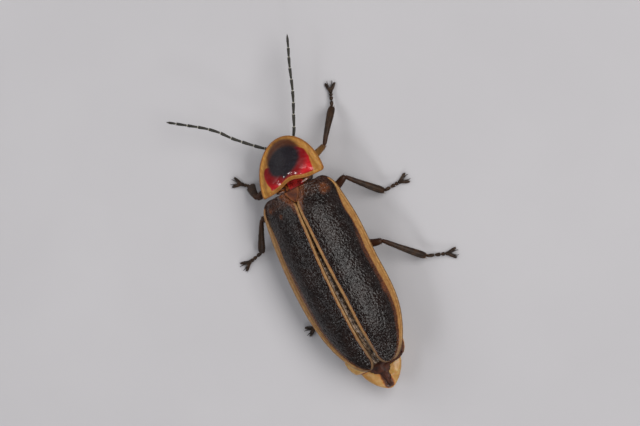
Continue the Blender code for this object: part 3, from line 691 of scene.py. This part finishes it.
def dress_case(side, word, finish, hair):
    """A plate with a pale rim and seam, duller towards the tip, the left case's rim darkened more than
    the right's as painted shade, rusty stains and short hairs wherever it isn't pale."""
    rows, columns = 200, 90
    top, share, across, inside, outside = case_grid(side, rows, columns)
    narrowing = 0.15 if side > 0 else 0.13
    rim_width = 0.09 + 0.2 * rise(share, 0.04, 0.17) - narrowing * rise(share, 0.55, 0.45)
    rim_width = rim_width + 0.02 * ripple(share * 14.0, 0.0, seed=8)
    rim = fade(outside, 0.5 * rim_width, rim_width) * rise(share, 0.01, 0.03)
    seam_width = 0.2 + 0.04 * ripple(share * 40.0, 0.5, seed=7) - 0.05 * rise(share, 0.85, 0.1)
    seam = fade(inside, 0.03, seam_width) * rise(share, 0.03, 0.06)
    pale = np.maximum(rim, seam)
    # The left case's rim is darkened more than the right's: painted shade on the side away from the key
    # light.
    dull_rim = 0.5 if side > 0 else 0.12
    dull = np.where(seam > rim, 0.45 + 0.4 * rise(share, 0.7, 0.27), dull_rim)
    dull = np.maximum(dull, 0.75 * rise(share, 0.88, 0.1))

    def stain(at, beside, stretch, width):
        """A soft round mark about these shares of the length and width."""
        return bell(np.hypot((share - at) * 10.0, (across - beside) * stretch), width)

    rust = most(
        stain(0.05, 0.74, 2.6, 0.19),
        bell(inside - 0.1, 0.26) * fade(share, 0.05, 0.13),
        0.6 * bell(outside - 1.25 * rim_width, 0.12) * rise(share, 0.2, 0.2),
        0.42 * fade(share, 0.04, 0.08),
    )
    if side < 0:
        hind_stain = bell(np.hypot((share - 0.65) * 8.0, (outside - 0.32) * 2.0), 0.34)
        rust = most(rust, stain(0.06, 0.72, 2.4, 0.36), hind_stain)
    else:
        rust = most(rust, 0.7 * stain(0.1, 0.5, 3.0, 0.18))
    skin = Skin("pale", "rust", "dull")
    skin.plate(top, 0.09, pale=pale, rust=rust, dull=dull)
    skin.piece(f"wing_case_{word}", finish, "wing_case_brown", f"elytron_{word}")

    random = np.random.default_rng(21 if side > 0 else 22)
    row = random.uniform(2, rows - 4, HAIRS_PER_CASE)
    column = random.uniform(1, columns - 3, HAIRS_PER_CASE)
    dark = ~(pale[row.astype(int), column.astype(int)] > 0.4)
    row, column = row[dark], column[dark]
    i, j = row.astype(int), column.astype(int)
    a, b = (row - i)[:, None], (column - j)[:, None]
    roots = (1 - a) * ((1 - b) * top[i, j] + b * top[i, j + 1])
    roots = roots + a * ((1 - b) * top[i + 1, j] + b * top[i + 1, j + 1])
    along = unit(top[i + 1, j] - top[i, j])
    sideways = unit(top[i, j + 1] - top[i, j])
    outward = unit(np.cross(sideways, along) * side)
    outward = outward * np.sign(outward[:, 2:3])
    uv = np.stack([column / columns, row / rows], axis=1)
    hair_piece(f"case_hair_{word}", hair, "wing_case_brown", roots, along, outward, *CASE_HAIR, uv, 31)


# The shield


def shield_place(left, forward, z):
    """From the shield's own left and forward distances to the body's frame: a small turn, and
    a lean of its middle line to the animal's right."""
    turn = math.radians(SHIELD_TURN)
    x = SHIELD_AT[0] + left * math.cos(turn) - forward * (math.sin(turn) + SHIELD_LEAN)
    y = SHIELD_AT[1] - left * math.sin(turn) - forward * math.cos(turn)
    return joined(x, y, z)


def shield_outline(front, back):
    """Half an ellipse round the nose, then a hollow hind edge between two corners."""
    angle = np.linspace(0.0, math.pi, front)
    nose = np.stack([SHIELD_HALF_WIDTH * np.cos(angle), SHIELD_LENGTH * np.sin(angle)], axis=1)
    across = np.linspace(-1.0, 1.0, back)[1:-1]
    hind = np.stack([0.985 * SHIELD_HALF_WIDTH * across, shield_bay(across)], axis=1)
    return np.vstack([nose, hind])


def shield_bay(across):
    """How far forward the hind edge lies, at a share of the shield's half width."""
    return SHIELD_BAY * bell(across, SHIELD_BAY_WIDTH) - SHIELD_CORNER


def shield_height(left, forward):
    """A low dome whose rim lies flat and sinks a little towards the nose, with two swollen
    flanks."""
    ahead = np.clip(forward, 0.0, None)
    reach = np.hypot(left / SHIELD_HALF_WIDTH, ahead / SHIELD_LENGTH)
    dome = SHIELD_DOME * (1.0 - np.clip(reach, 0.0, 1.0) ** 2.2) ** 1.25
    flank = 0.06 * bell(np.hypot(np.abs(left) - 1.0, (forward - 0.62) * 0.8), 0.38)
    return SHIELD_EDGE_Z - SHIELD_DROP * ahead + dome + flank


def dress_shield(finish):
    """Rings from the middle of the shield out to its outline, over the dome, with the hind
    slope, the raised rim and its marks painted by place."""
    outline = shield_outline(150, 72)
    centre = np.array([0.0, 0.95])
    shares = np.concatenate([np.linspace(0.02, 0.85, 44), np.linspace(0.86, 1.0, 18)])
    flat = centre + shares[:, None, None] * (outline - centre)[None]
    left, forward = flat[..., 0], flat[..., 1]
    beside = np.abs(left)
    edge = np.linalg.norm(outline - centre, axis=1)[None] * (1.0 - shares[:, None])
    behind = forward - shield_bay(left / SHIELD_HALF_WIDTH)
    slope = -0.22 * fade(behind, 0.12, 0.42) * fade(beside, 0.9, 0.5)
    bead = 0.05 * bell(edge - 0.05, 0.06) - 0.02 * bell(edge - 0.24, 0.09)
    folds = 0.011 * ripple(left * 4.0 + forward * 1.4, forward * 9.0 - left * 3.0, seed=5)
    folds = folds + 0.004 * ripple(left * 14.0, forward * 14.0, seed=6)
    z = shield_height(left, forward) + slope + bead + folds * rise(edge, 0.0, 0.35)
    top = shield_place(left, forward, z)

    def reach_of(at, half, tilt=0.0):
        """Distance from a point in half sizes of an ellipse turned by tilt."""
        dx, dy = left - at[0], forward - at[1]
        u = dx * math.cos(tilt) + dy * math.sin(tilt)
        v = dy * math.cos(tilt) - dx * math.sin(tilt)
        return np.hypot(u / half[0], v / half[1])

    spot = reach_of((0.03, 1.2), (1.02, 0.79), -0.2)
    tail = fade(np.abs(left - 0.16), 0.02, 0.3) * fade(forward, 0.7, 0.35)
    flank_edge = np.interp(forward, (0.0, 0.85, 1.3, 1.7), (1.27, 1.27, 1.14, 0.7))
    rosy_right = fade(-left - flank_edge, -0.1, 0.2) * rise(-left, -0.1, 0.2)
    rosy_right = rosy_right * fade(forward, 1.5, 0.2)
    rosy_left = fade(reach_of((0.86, 0.6), (0.42, 0.78), -0.32), 0.76, 0.3)
    rosy_behind = fade(beside, 1.02, 0.25) * fade(forward, 0.6, 0.4)
    marks = {
        "black": most(fade(spot, 0.58, 0.62), tail * rise(behind, 0.12, 0.3)),
        "rosy": most(rosy_right, rosy_left, rosy_behind) * rise(behind, 0.14, 0.1),
        "cloud": fade(reach_of((0.0, 1.46), (1.06, 0.96)), 0.66, 0.42),
        "deep": most(
            fade(spot, 1.1, 0.45), 0.5 * bell(behind - 0.2, 0.08),
            bell(left - 0.16, 0.5) * fade(forward, 0.6, 0.3),
        ),
        "amber": most(
            bell(edge - 0.02, 0.05), 0.6 * bell(edge - 0.33, 0.05),
            0.75 * bell(behind - 0.08, 0.1) * fade(beside, 1.0, 0.4),
        ),
        "wet": bell(behind - 0.34, 0.16),
    }
    waist = shield_place(*(centre + 1.012 * (outline - centre)).T, z[-1] - 0.05)[None]
    rings = np.concatenate([top, waist, (top - (0.0, 0.0, 0.1))[::-1]])
    paint = {name: np.concatenate([value, value[-1:], value[::-1]]) for name, value in marks.items()}
    skin = Skin(*marks)
    skin.rings(rings, **paint)
    skin.piece("shield", finish, "shield_horn", "pronotum")


# The trunk


def trunk_ring(y, half_width, low, high, middle, sides):
    """Rounded cross-sections, flat-backed above and fuller below, one for each y."""
    angle = np.linspace(0.0, 2 * math.pi, sides, endpoint=False)[None]
    cosine, sine = np.cos(angle), np.sin(angle)
    y, half_width, low, high = (v[:, None] for v in np.broadcast_arrays(y, half_width, low, high))
    x = middle + half_width * np.sign(cosine) * np.abs(cosine) ** 0.8
    z = 0.5 * (low + high) + 0.5 * (high - low) * np.sign(sine) * np.abs(sine) ** 0.9
    return joined(x, y, z)


def dress_trunk(finish):
    """The plates of the underside: front body, middle body with its sutures, and an abdomen
    whose rings each stand over the next."""
    skin = Skin("pale")
    share = np.linspace(0.0, 1.0, 30)
    width = (0.8 + 0.16 * np.sin(math.pi * share)) * capped(share, 6.0, 3.0)
    rings = trunk_ring(-3.1 + 1.2 * share, np.maximum(width, 0.2), 0.84, 1.74, -0.22, 48)
    skin.rings(rings, pale=0.25 + 0.3 * ripple(share * 5.0, 0.5, seed=9))

    share = np.linspace(0.0, 1.0, 90)
    suture = bell(share - 0.36, 0.012)
    width = 1.5 * (0.8 + 0.2 * np.sin(0.5 * math.pi * np.minimum(1.0, share / 0.4)))
    width = width * (1.0 - 0.06 * suture) * capped(share, 14.0, 3.0)
    low = BELLY_Z + 0.1 * (1.0 - share) + 0.05 * suture
    high = BACK_Z + 0.22 * fade(share, 0.0, 0.22)
    rings = trunk_ring(-1.95 + 3.45 * share, np.maximum(width, 0.4), low, high, 0.0, 72)
    rings[..., 2] += 0.04 * bell(rings[..., 0], 0.03) * (rings[..., 2] < 0.9)
    skin.rings(rings, pale=0.0)

    share = np.linspace(0.0, 1.0, 150)
    ring = share * 5.0 % 1.0
    grow = -0.07 * fade(ring, 0.0, 0.18) + 0.03 * rise(ring, 0.7, 0.25)
    width = 1.72 * (1.0 - 0.12 * (1.0 - np.minimum(1.0, share / 0.35)) ** 2) + grow
    width = np.maximum(width * capped(share, 40.0, 3.0), 0.6)
    high = BACK_Z - 0.24 * share + grow
    rings = trunk_ring(1.44 + 5.52 * share, width, BELLY_Z - grow, high, 0.0, 80)
    fold = bell(np.abs(rings[..., 0]) - 1.52, 0.05)
    rings[..., 2] += 0.03 * fold * np.sign(rings[..., 2] - 1.05)
    rings[..., 2] += 0.012 * ripple(share[:, None] * 60.0, np.linspace(0, 18, 80)[None], seed=11)
    edges = np.maximum(bell(ring - 0.97, 0.03), bell(ring - 0.02, 0.05))[:, None]
    skin.rings(rings, pale=np.maximum(0.55 * edges, 0.5 * fold))
    skin.piece("trunk", finish, "trunk_brown", "prothorax", "thorax", "abdomen")


def dress_lantern(finish):
    """Two stepped rings and the rounded last one, with swollen side lobes."""
    y = np.linspace(LANTERN_Y[0], LANTERN_Y[-1], 110)
    half, low, high = (
        np.interp(y, LANTERN_Y, values) for values in (LANTERN_HALF, LANTERN_LOW, LANTERN_HIGH)
    )
    rings = trunk_ring(y, half, low, high, TAIL_SHIFT, 84)
    across = rings[..., 0] - TAIL_SHIFT
    side, along, upper = np.abs(across), y[:, None], rise(rings[..., 2], 0.95, 0.2)
    lobe = bell(side - 1.0, 0.35) * bell(along - 7.65, 0.5)
    lobe = lobe + 0.8 * bell(side - 0.6, 0.22) * bell(along - 8.6, 0.35)
    rings[..., 2] += 0.07 * lobe * upper
    rings[..., 2] += 0.014 * ripple(along * 9.0, np.linspace(0, 20, 84)[None], seed=12)
    back = fade(side, 0.1, 0.42) * rise(along, 8.1, 0.3)
    right = rise(-across, 0.7, 0.3) * fade(along, 7.95, 0.12)
    step = bell(along - 8.04, 0.05)
    skin = Skin("brown")
    skin.rings(rings, brown=np.maximum(
        np.maximum(0.8 * back, right) * upper, 0.75 * step * rise(side, -0.2, 0.6)))
    skin.piece("lantern_skin", finish, "lantern_cream", "lantern")


def dress_tail_plate(finish):
    """The dark back plate: broad under the wing tips, then a tongue that runs to the tail."""
    y = np.linspace(TAIL_PLATE_Y[0], TAIL_PLATE_Y[-1], 70)[:, None]
    half = np.interp(y, TAIL_PLATE_Y, TAIL_PLATE_HALF)
    across = np.linspace(-1.0, 1.0, 40)[None]
    ragged = 1.0 + 0.22 * ripple(y * 6.0, across * 1.0, seed=13)
    ragged = ragged + 0.12 * ripple(y * 22.0, across * 1.0, seed=20)
    middle = TAIL_SHIFT - 0.06 * rise(y, 8.2, 0.3) + 0.02 * rise(y, 8.7, 0.4)
    right = rise(-across, 0.4, 0.6) * fade(y, 8.1, 0.1) * rise(y, 7.5, 0.3)
    x = middle + half * across * ragged - 0.42 * right
    z = 1.44 - 0.1 * rise(y, 7.9, 1.2) - 0.06 * across**2
    z = z + 0.03 * ripple(y * 7.0, across * 3.0, seed=14)
    z = z + 0.05 * bell(across * half, 0.08) * rise(y, 7.9, 0.3) + 0.08 * right
    z = z - 0.12 * rise(y, 8.9, 0.3)
    skin = Skin("pale")
    skin.plate(joined(x, y, z), 0.08, pale=0.3 * bell(np.abs(across) - 1.0, 0.1))
    skin.piece("tail_plate", finish, "tail_plate_brown", "pygidium")


def dress_membrane(finish):
    """Soft folds between the shield and the wing cases, rosy right of the middle."""
    share = np.linspace(0.0, 1.0, 40)
    width = (0.7 + 0.3 * rise(share, 0.35, 0.3)) * capped(share, 5.0, 2.0)
    high = 2.22 + 0.12 * share
    rings = trunk_ring(-2.62 + 0.6 * share, np.maximum(width, 0.1), 1.86, high, -0.1, 60)
    rings[..., 2] -= 0.2 * np.clip(np.abs(rings[..., 0] + 0.1) - 0.55, 0.0, None)
    blobs = ripple(share[:, None] * 4.0, np.linspace(0, 12, 60)[None], seed=15)
    rings[..., 2] += 0.05 * np.abs(blobs) * rise(rings[..., 2], 2.0, 0.1)
    skin = Skin("brown")
    skin.rings(rings, brown=rise(np.abs(rings[..., 0] + 0.3), 0.25, 0.3))
    skin.piece("membrane", finish, "neck_pink", "mesonotum")


def dress_scutellum(finish):
    """A small triangular plate, hollowed along its middle, with a raised edge."""
    y = np.linspace(-2.02, -1.36, 40)[:, None]
    share = (y - CASE_FRONT_Y) / CASE_LENGTH
    half = np.maximum(case_edges(share, 1)[0] - 0.03, 0.05)
    half = np.maximum(half * rounded((share - 0.04) / 0.028, 2.0, 2.0), 0.03)
    across = np.linspace(-1.0, 1.0, 30)[None]
    x = half * across - 0.01
    z = case_height(0.1, share) + 0.02 - 0.4 * x**2 - 0.05 * bell(across, 0.5)
    z = z + 0.012 * ripple(y * 12.0, across * 3.0, seed=16)
    skin = Skin("pale")
    pale = 0.5 * rise(np.abs(across), 0.35, 0.5) + 0.3 * rise(y, -1.6, 0.3)
    skin.plate(joined(x, y, z), 0.07, pale=pale)
    skin.piece("scutellum_plate", finish, "scutellum_amber", "scutellum")


def dress_wing(side, word, finish):
    """A folded wing: film with raised veins, creased lengthwise where it is packed away."""
    share = np.linspace(0.1, 0.985, 170)[:, None]
    across = np.linspace(0.0, 1.0, 46)[None]
    inner = -0.25 if side > 0 else 0.3
    case_outer = case_edges(share, side)[1]
    x = inner + (0.46 * case_outer - inner) * across
    case_share = np.abs(x) / case_outer
    z = case_height(case_share, share) - 0.36 - 0.18 * case_share - 0.16 * rise(share, 0.8, 0.15)
    creases = 0.07 * ripple(share * 9.0, across * 7.0, seed=17 if side > 0 else 18)
    creases = creases + 0.07 * np.abs(ripple(share * 34.0 + across * 4.0, across * 11.0, seed=19))
    veins = sum(bell(across - at, 0.016) for at in (0.16, 0.38, 0.6, 0.82))
    top = joined(side * x, CASE_FRONT_Y + CASE_LENGTH * share, z + creases + 0.05 * veins)
    skin = Skin("pale")
    skin.plate(top, 0.035, pale=0.8 * veins)
    skin.piece(f"wing_{word}", finish, "wing_film", f"hindwing_{word}")


# The head


def ball(skin, centre, half, rows=30, sides=40, **paint):
    """An ellipsoid about a centre, rings from its front pole to its hind pole."""
    turn = np.linspace(0.02, math.pi - 0.02, rows)
    route = np.array(centre) - joined(0.0, half[1] * np.cos(turn), 0.0)
    skin.tube(route, half[0] * np.sin(turn), half[2] * np.sin(turn), sides, **paint)


def dress_head(finish, lens):
    """A short capsule with a sunken brow, big round eyes at its sides, and its mouthparts."""
    skin = Skin("pale")
    turn = np.linspace(0.02, math.pi - 0.02, 60)
    width = 0.6 * np.sin(turn) ** 0.8 * (1.0 - 0.12 * bell(turn - 1.0, 0.3))
    route = HEAD_AT - joined(0.0, 0.66 * np.cos(turn), 0.0)
    skin.tube(route, width, 0.42 * np.sin(turn) ** 0.9, 48, pale=0.0)
    ball(skin, HEAD_AT + (0.0, -0.42, -0.1), (0.36, 0.36, 0.28), pale=0.2)
    ball(skin, HEAD_AT + (0.0, -0.72, -0.2), (0.24, 0.1, 0.08), pale=0.5)
    skin.piece("head_capsule", finish, "head_brown", "head")

    for side, word in SIDES:
        eye = Skin()
        ball(eye, HEAD_AT + (side * 0.64, -0.08, -0.02), (0.385, 0.4, 0.4), 40, 56)
        eye.piece(f"eye_globe_{word}", lens, "eye_black", f"eye_{word}")

    jaw = ((0.14, -0.56, -0.56), (0.21, -0.76, -0.6), (0.15, -0.92, -0.63), (0.05, -1.0, -0.65))
    outer = ((0.24, -0.45, -0.6), (0.42, -0.53, -0.68), (0.52, -0.68, -0.78), (0.51, -0.84, -0.87))
    inner = ((0.12, -0.34, -0.64), (0.19, -0.4, -0.78), (0.2, -0.5, -0.88))
    share = np.linspace(0.0, 1.0, 26)
    knuckles = 0.75 + 0.25 * np.cos(share * 6.0 * math.pi) * (1.0 - share)
    mouth = Skin("pale")
    ball(mouth, HEAD_AT + (0.0, -0.42, -0.56), (0.3, 0.28, 0.12), pale=0.3)
    for side in (1, -1):
        for bends, thick, sides, pale in (
            (jaw, 0.075 * (1.0 - 0.8 * share**1.5), 12, 0.15),
            (outer, 0.075 * knuckles * rounded(share, 6.0, 2.0) + 0.008, 12, 0.4),
            (inner, 0.05 * knuckles * rounded(share, 6.0, 2.0) + 0.006, 10, 0.4),
        ):
            route = through(bends, np.linspace(0.0, len(bends) - 1, 26)) * (side, 1.0, 1.0)
            mouth.tube(HEAD_AT + route, thick, sides=sides, pale=pale)
    mouth.piece("jaws_and_palps", finish, "head_brown", "mouthparts")


def dress_feeler(name, joints, finish, hair_beds):
    """Eleven joints: each widens from a narrow pale neck to its far end, then closes in."""
    steps = np.array([0.0, 0.03, 0.1, 0.3, 0.5, 0.7, 0.86, 0.95, 0.985])
    count = len(joints) - 1
    at = np.concatenate([k + steps for k in range(count)] + [[count]])
    route = through(joints, at)
    step = np.append(np.tile(steps, count), 1.0)
    number = np.append(np.repeat(np.arange(count), len(steps)), count - 1)
    thick = np.interp(number, (0, 1, 2, 10), (0.12, 0.082, 0.086, 0.074))
    neck = (step < 0.04) | (step > 0.96)
    shape = (0.72 + 0.28 * rise(step, 0.0, 0.85)) * np.where(neck, 0.62, 1.0)
    last = (number == count - 1) & (step > 0.6)
    shape = shape * np.where(last, np.clip((1.02 - step) / 0.42, 0.1, 1.0) ** 0.5, 1.0)
    pale = np.where(neck & (number > 0) & ~last, 0.8, 0.0)
    skin = Skin("pale")
    rings, outward, along = skin.tube(route, thick * shape, 0.85 * thick * shape, 14, pale=pale)
    skin.piece(name + "_joints", finish, "feeler_black", name)
    hair_beds.append((rings, outward, along, FEELER_HAIR_LENGTH, HAIRS_PER_FEELER))


# The legs


def bar(skin, beds, start, end, wide, high, count=24, arch=0.0, sides=16, bow=0.0, hairs=0, **paint):
    """A limb stretch from start to end with the given half widths along it, arched upwards
    and bowed towards the tail."""
    share = np.linspace(0.0, 1.0, count)

    def spread(values):
        return np.interp(share, np.linspace(0.0, 1.0, len(values)), values)

    route = start + (end - start) * share[:, None]
    route[:, 1] += bow * np.sin(math.pi * share)
    route[:, 2] += arch * np.sin(math.pi * share)
    ends = capped(share, 12.0, 2.5) + 0.04
    painted = {name: spread(values) for name, values in paint.items()}
    rings, outward, along = skin.tube(route, spread(wide) * ends, spread(high) * ends, sides, **painted)
    if hairs:
        beds.append((rings, outward, along, LEG_HAIR_LENGTH, hairs))


def dress_foot(skin, claws, beds, ankle, tip):
    """Three cup-shaped toe joints, a fourth split in two lobes, and a slim last one between
    them that bears two hooked claws."""
    tip = np.array([*tip, 0.12])
    flat = tip[:2] - ankle[:2]
    ahead = np.append(flat / np.linalg.norm(flat), 0.0)
    sideways = np.array((-ahead[1], ahead[0], 0.0))
    fork = tip - 0.48 * ahead
    fork[2] = 0.14
    ends = [ankle + (fork - ankle) * share for share in TOE_ENDS]
    for low, high, thick in zip(ends, ends[1:], TOE_THICKNESS):
        wide = thick * np.array((0.5, 0.8, 1.0, 1.0, 0.6))
        bar(skin, beds, low, high, wide, 0.85 * wide, 16, hairs=45)
    slim = (0.03, 0.04, 0.045, 0.04)
    bar(skin, beds, fork - 0.04 * ahead, fork + 0.26 * ahead, slim, slim, 14)
    lobe_wide = (0.045, 0.068, 0.076, 0.078, 0.07, 0.045)
    lobe_high = (0.05, 0.065, 0.07, 0.06, 0.05, 0.03)
    share = np.linspace(0.0, 1.0, 30)[:, None]
    reach = 0.2 + 0.38 * np.sin(0.5 * math.pi * share)
    lift = 0.06 * np.sin(math.pi * share) - 0.1 * share**2
    for side in (1, -1):
        out = np.array(Matrix.Rotation(math.radians(LOBE_TURN * side), 3, "Z")) @ ahead
        lobe_end = fork + 0.54 * out
        lobe_end[2] = 0.07
        bar(skin, beds, fork - 0.08 * out, lobe_end, lobe_wide, lobe_high, 22, hairs=40)
        bow = side * (0.03 + 0.1 * np.sin(0.75 * math.pi * share))
        route = fork + ahead * reach + sideways * bow + lift * UP
        thick = 0.034 * (1.0 - 0.85 * share[:, 0] ** 1.5)
        claws.tube(route, thick, sides=10, pale=0.25 * (1.0 - share[:, 0]))


def dress_leg(name, finish, horn, beds):
    """Hip, ring, thigh, shin with its two spurs, and foot; the claws are a piece of their own."""
    root, knee, ankle, tip = (np.array(p, float) for p in LEGS[name])
    tan, stout, broad, bow = LEG_BUILD.get(name, PLAIN_BUILD)
    skin, claws = Skin("pale", "red"), Skin("pale")
    ball(skin, root + (0.0, 0.0, 0.02), (0.36, 0.31, 0.27), 24, 28, pale=0.15, red=0.2)
    toward = unit(knee - root)
    ring_wide, ring_high = (0.14, 0.19, 0.17), (0.14, 0.18, 0.16)
    bar(skin, beds, root + 0.12 * toward, root + 0.55 * toward, ring_wide, ring_high, 14, red=(0.5, 0.2))
    wide = stout * np.array((0.13, 0.2, 0.22, 0.215, 0.2, 0.18, 0.15))
    high = stout * np.array((0.14, 0.22, 0.25, 0.24, 0.22, 0.19, 0.15))
    bar(skin, beds, root + 0.4 * toward, knee + 0.06 * toward, wide, high, 40, hairs=230, bow=bow,
        pale=(tan, tan, tan, 0.7 * tan, 0.4 * tan), red=(0.2, 0.3, 0.7, 1.0, 0.6))
    down = unit(ankle - knee)
    wide = broad * np.array((0.1, 0.115, 0.13, 0.15, 0.17, 0.185, 0.18))
    high = (0.1, 0.115, 0.12, 0.13, 0.14, 0.15, 0.14)
    bar(skin, beds, knee - 0.02 * down, ankle + 0.04 * down, wide, high, 44, arch=0.14, hairs=260,
        red=(0.9, 0.3, 0.0, 0.0, 0.0, 0.1))
    spur = unit(down + (0.0, 0.0, -0.25))
    sideways = unit(np.cross(down, UP))
    slim = (0.022, 0.016, 0.004)
    for beside in (0.1, -0.1):
        base = ankle - 0.02 * down + beside * sideways
        bar(skin, beds, base, base + 0.16 * spur, slim, slim, 10, sides=8, pale=(0.6, 0.6))
    dress_foot(skin, claws, beds, ankle, tip)
    skin.piece(f"{name}_leg", finish, "leg_brown", f"leg_{name}")
    claws.piece(f"{name}_claws", horn, "leg_brown")


def limb_hair(name, root, tip, slot, beds, seed):
    """Short hairs over the rings of many limb stretches, each pointing down its limb."""
    random = np.random.default_rng(seed)
    parts = []
    for number, (rings, outward, along, length, count) in enumerate(beds):
        rows, sides = rings.shape[:2]
        i, j = random.integers(1, rows - 1, count), random.integers(0, sides, count)
        slide = random.uniform(0.0, 1.0, (count, 1))
        roots = rings[i, j] * (1 - slide) + rings[i, (j + 1) % sides] * slide
        out = unit(outward[i, j] * (1 - slide) + outward[i, (j + 1) % sides] * slide)
        uv = np.stack([(number + (j + slide[:, 0]) / sides) / len(beds), i / rows], axis=1)
        parts.append((roots, along[i], out, np.full((count, 1), length), uv))
    roots, lean, out, length, uv = (np.concatenate(column) for column in zip(*parts))
    finish = hair_finish(name, root, tip)
    hair_piece(name, finish, slot, roots, lean, out, length, LIMB_HAIR_WIDTH, uv, seed)


# Light, floor and camera


def turn_to(thing, right, up, back, at):
    """Turns a lamp or a camera to these axes and puts it at a place in metres."""
    place = Matrix(np.column_stack([right, up, back]).tolist()).to_4x4()
    place.translation = at.tolist()
    thing.matrix_world = place


def set_stage():
    """A pale floor, soft lights on either side and before it, a small one behind and a dim sky.
    A light's place is given by how far it leans to the animal's left and towards its tail."""
    floor = bpy.data.meshes.new("floor")
    corners = [(FLOOR_HALF * x, FLOOR_HALF * y, 0) for x, y in ((-1, -1), (1, -1), (1, 1), (-1, 1))]
    floor.from_pydata(corners, [], [(0, 1, 2, 3)])
    floor.materials.append(floor_finish())
    show("floor", floor)
    for name, leftward, tailward, across, along, brightness, colour in LIGHTS:
        light = bpy.data.lights.new(name, "AREA")
        light.shape, light.size, light.size_y, light.color = "RECTANGLE", across, along, colour
        light.energy = brightness * math.pi * across * along
        back = unit(np.array([*(math.tan(math.radians(lean)) for lean in (leftward, tailward)), 1.0]))
        right = unit(np.cross((0.0, 1.0, 0.0), back))
        turn_to(show(name, light), right, np.cross(back, right), back, LIGHT_DISTANCE * back)
    world = bpy.data.worlds.new("sky")
    world.use_nodes = True
    sky = world.node_tree.nodes["Background"].inputs
    sky["Color"].default_value = SKY_COLOUR
    sky["Strength"].default_value = SKY_BRIGHTNESS
    bpy.context.scene.world = world
    bpy.context.scene.view_settings.view_transform = "Standard"


def set_camera():
    """Looks down from a little to the animal's right, turned so that the head is up and left."""
    tilt, roll = math.radians(CAMERA_TILT), math.radians(CAMERA_ROLL)
    back = np.array((-math.sin(tilt), 0.0, math.cos(tilt)))
    level = np.array((math.cos(tilt), 0.0, math.sin(tilt)))
    tail = np.array((0.0, 1.0, 0.0))
    right = -math.cos(roll) * level + math.sin(roll) * tail
    up = -math.sin(roll) * level - math.cos(roll) * tail
    data = bpy.data.cameras.new("camera")
    view_width = VIEW_PIXELS / PIXELS_PER_MM
    data.sensor_width, data.lens = SENSOR_WIDTH, SENSOR_WIDTH * CAMERA_DISTANCE / view_width
    data.clip_start, data.clip_end = 0.005, 10.0
    camera = show("camera", data)
    turn_to(camera, right, up, back, (np.array(CAMERA_AIM) + back * CAMERA_DISTANCE) * MM)
    bpy.context.scene.camera = camera


def dress():
    """Makes every piece of the animal with its finish."""
    cases = case_finish()
    case_hair = hair_finish("case_hair", (0.005, 0.003, 0.0022), (0.018, 0.016, 0.014))
    for side, word in SIDES:
        dress_case(side, word, cases, case_hair)
    film = wing_finish()
    for side, word in SIDES:
        dress_wing(side, word, film)
    dress_shield(shield_finish())
    dress_membrane(membrane_finish())
    dress_scutellum(chitin_finish(
        "scutellum_amber", (0.05, 0.012, 0.006), (0.13, 0.036, 0.012),
        pale=(0.25, 0.08, 0.017), shine=0.25,
    ))
    dress_trunk(chitin_finish("trunk_chitin", (0.028, 0.014, 0.01), (0.07, 0.035, 0.02)))
    dress_lantern(lantern_finish())
    dress_tail_plate(chitin_finish(
        "tail_plate", (0.016, 0.0042, 0.0025), (0.08, 0.02, 0.008), rough=0.46, shine=0.3,
    ))
    head = chitin_finish("head_chitin", (0.022, 0.013, 0.01), (0.06, 0.034, 0.02))
    dress_head(head, eye_finish())

    feeler = chitin_finish(
        "feeler_chitin", (0.012, 0.011, 0.007), (0.028, 0.024, 0.016),
        pale=(0.36, 0.33, 0.25), depth=0.008,
    )
    feeler_beds, leg_beds = [], []
    for name, joints in FEELERS.items():
        dress_feeler(name, joints, feeler, feeler_beds)
    root, tip = (0.016, 0.016, 0.011), (0.045, 0.045, 0.033)
    limb_hair("feeler_hair", root, tip, "feeler_black", feeler_beds, seed=41)

    leg = leg_finish()
    horn = chitin_finish(
        "claw_horn", (0.012, 0.007, 0.005), (0.03, 0.014, 0.008), rough=0.25, depth=0.004, coat=0.4,
    )
    for name in LEGS:
        dress_leg(name, leg, horn, leg_beds)
    root, tip = (0.012, 0.0056, 0.0022), (0.034, 0.017, 0.007)
    limb_hair("leg_hair", root, tip, "leg_brown", leg_beds, seed=42)


set_camera()
set_stage()
dress()
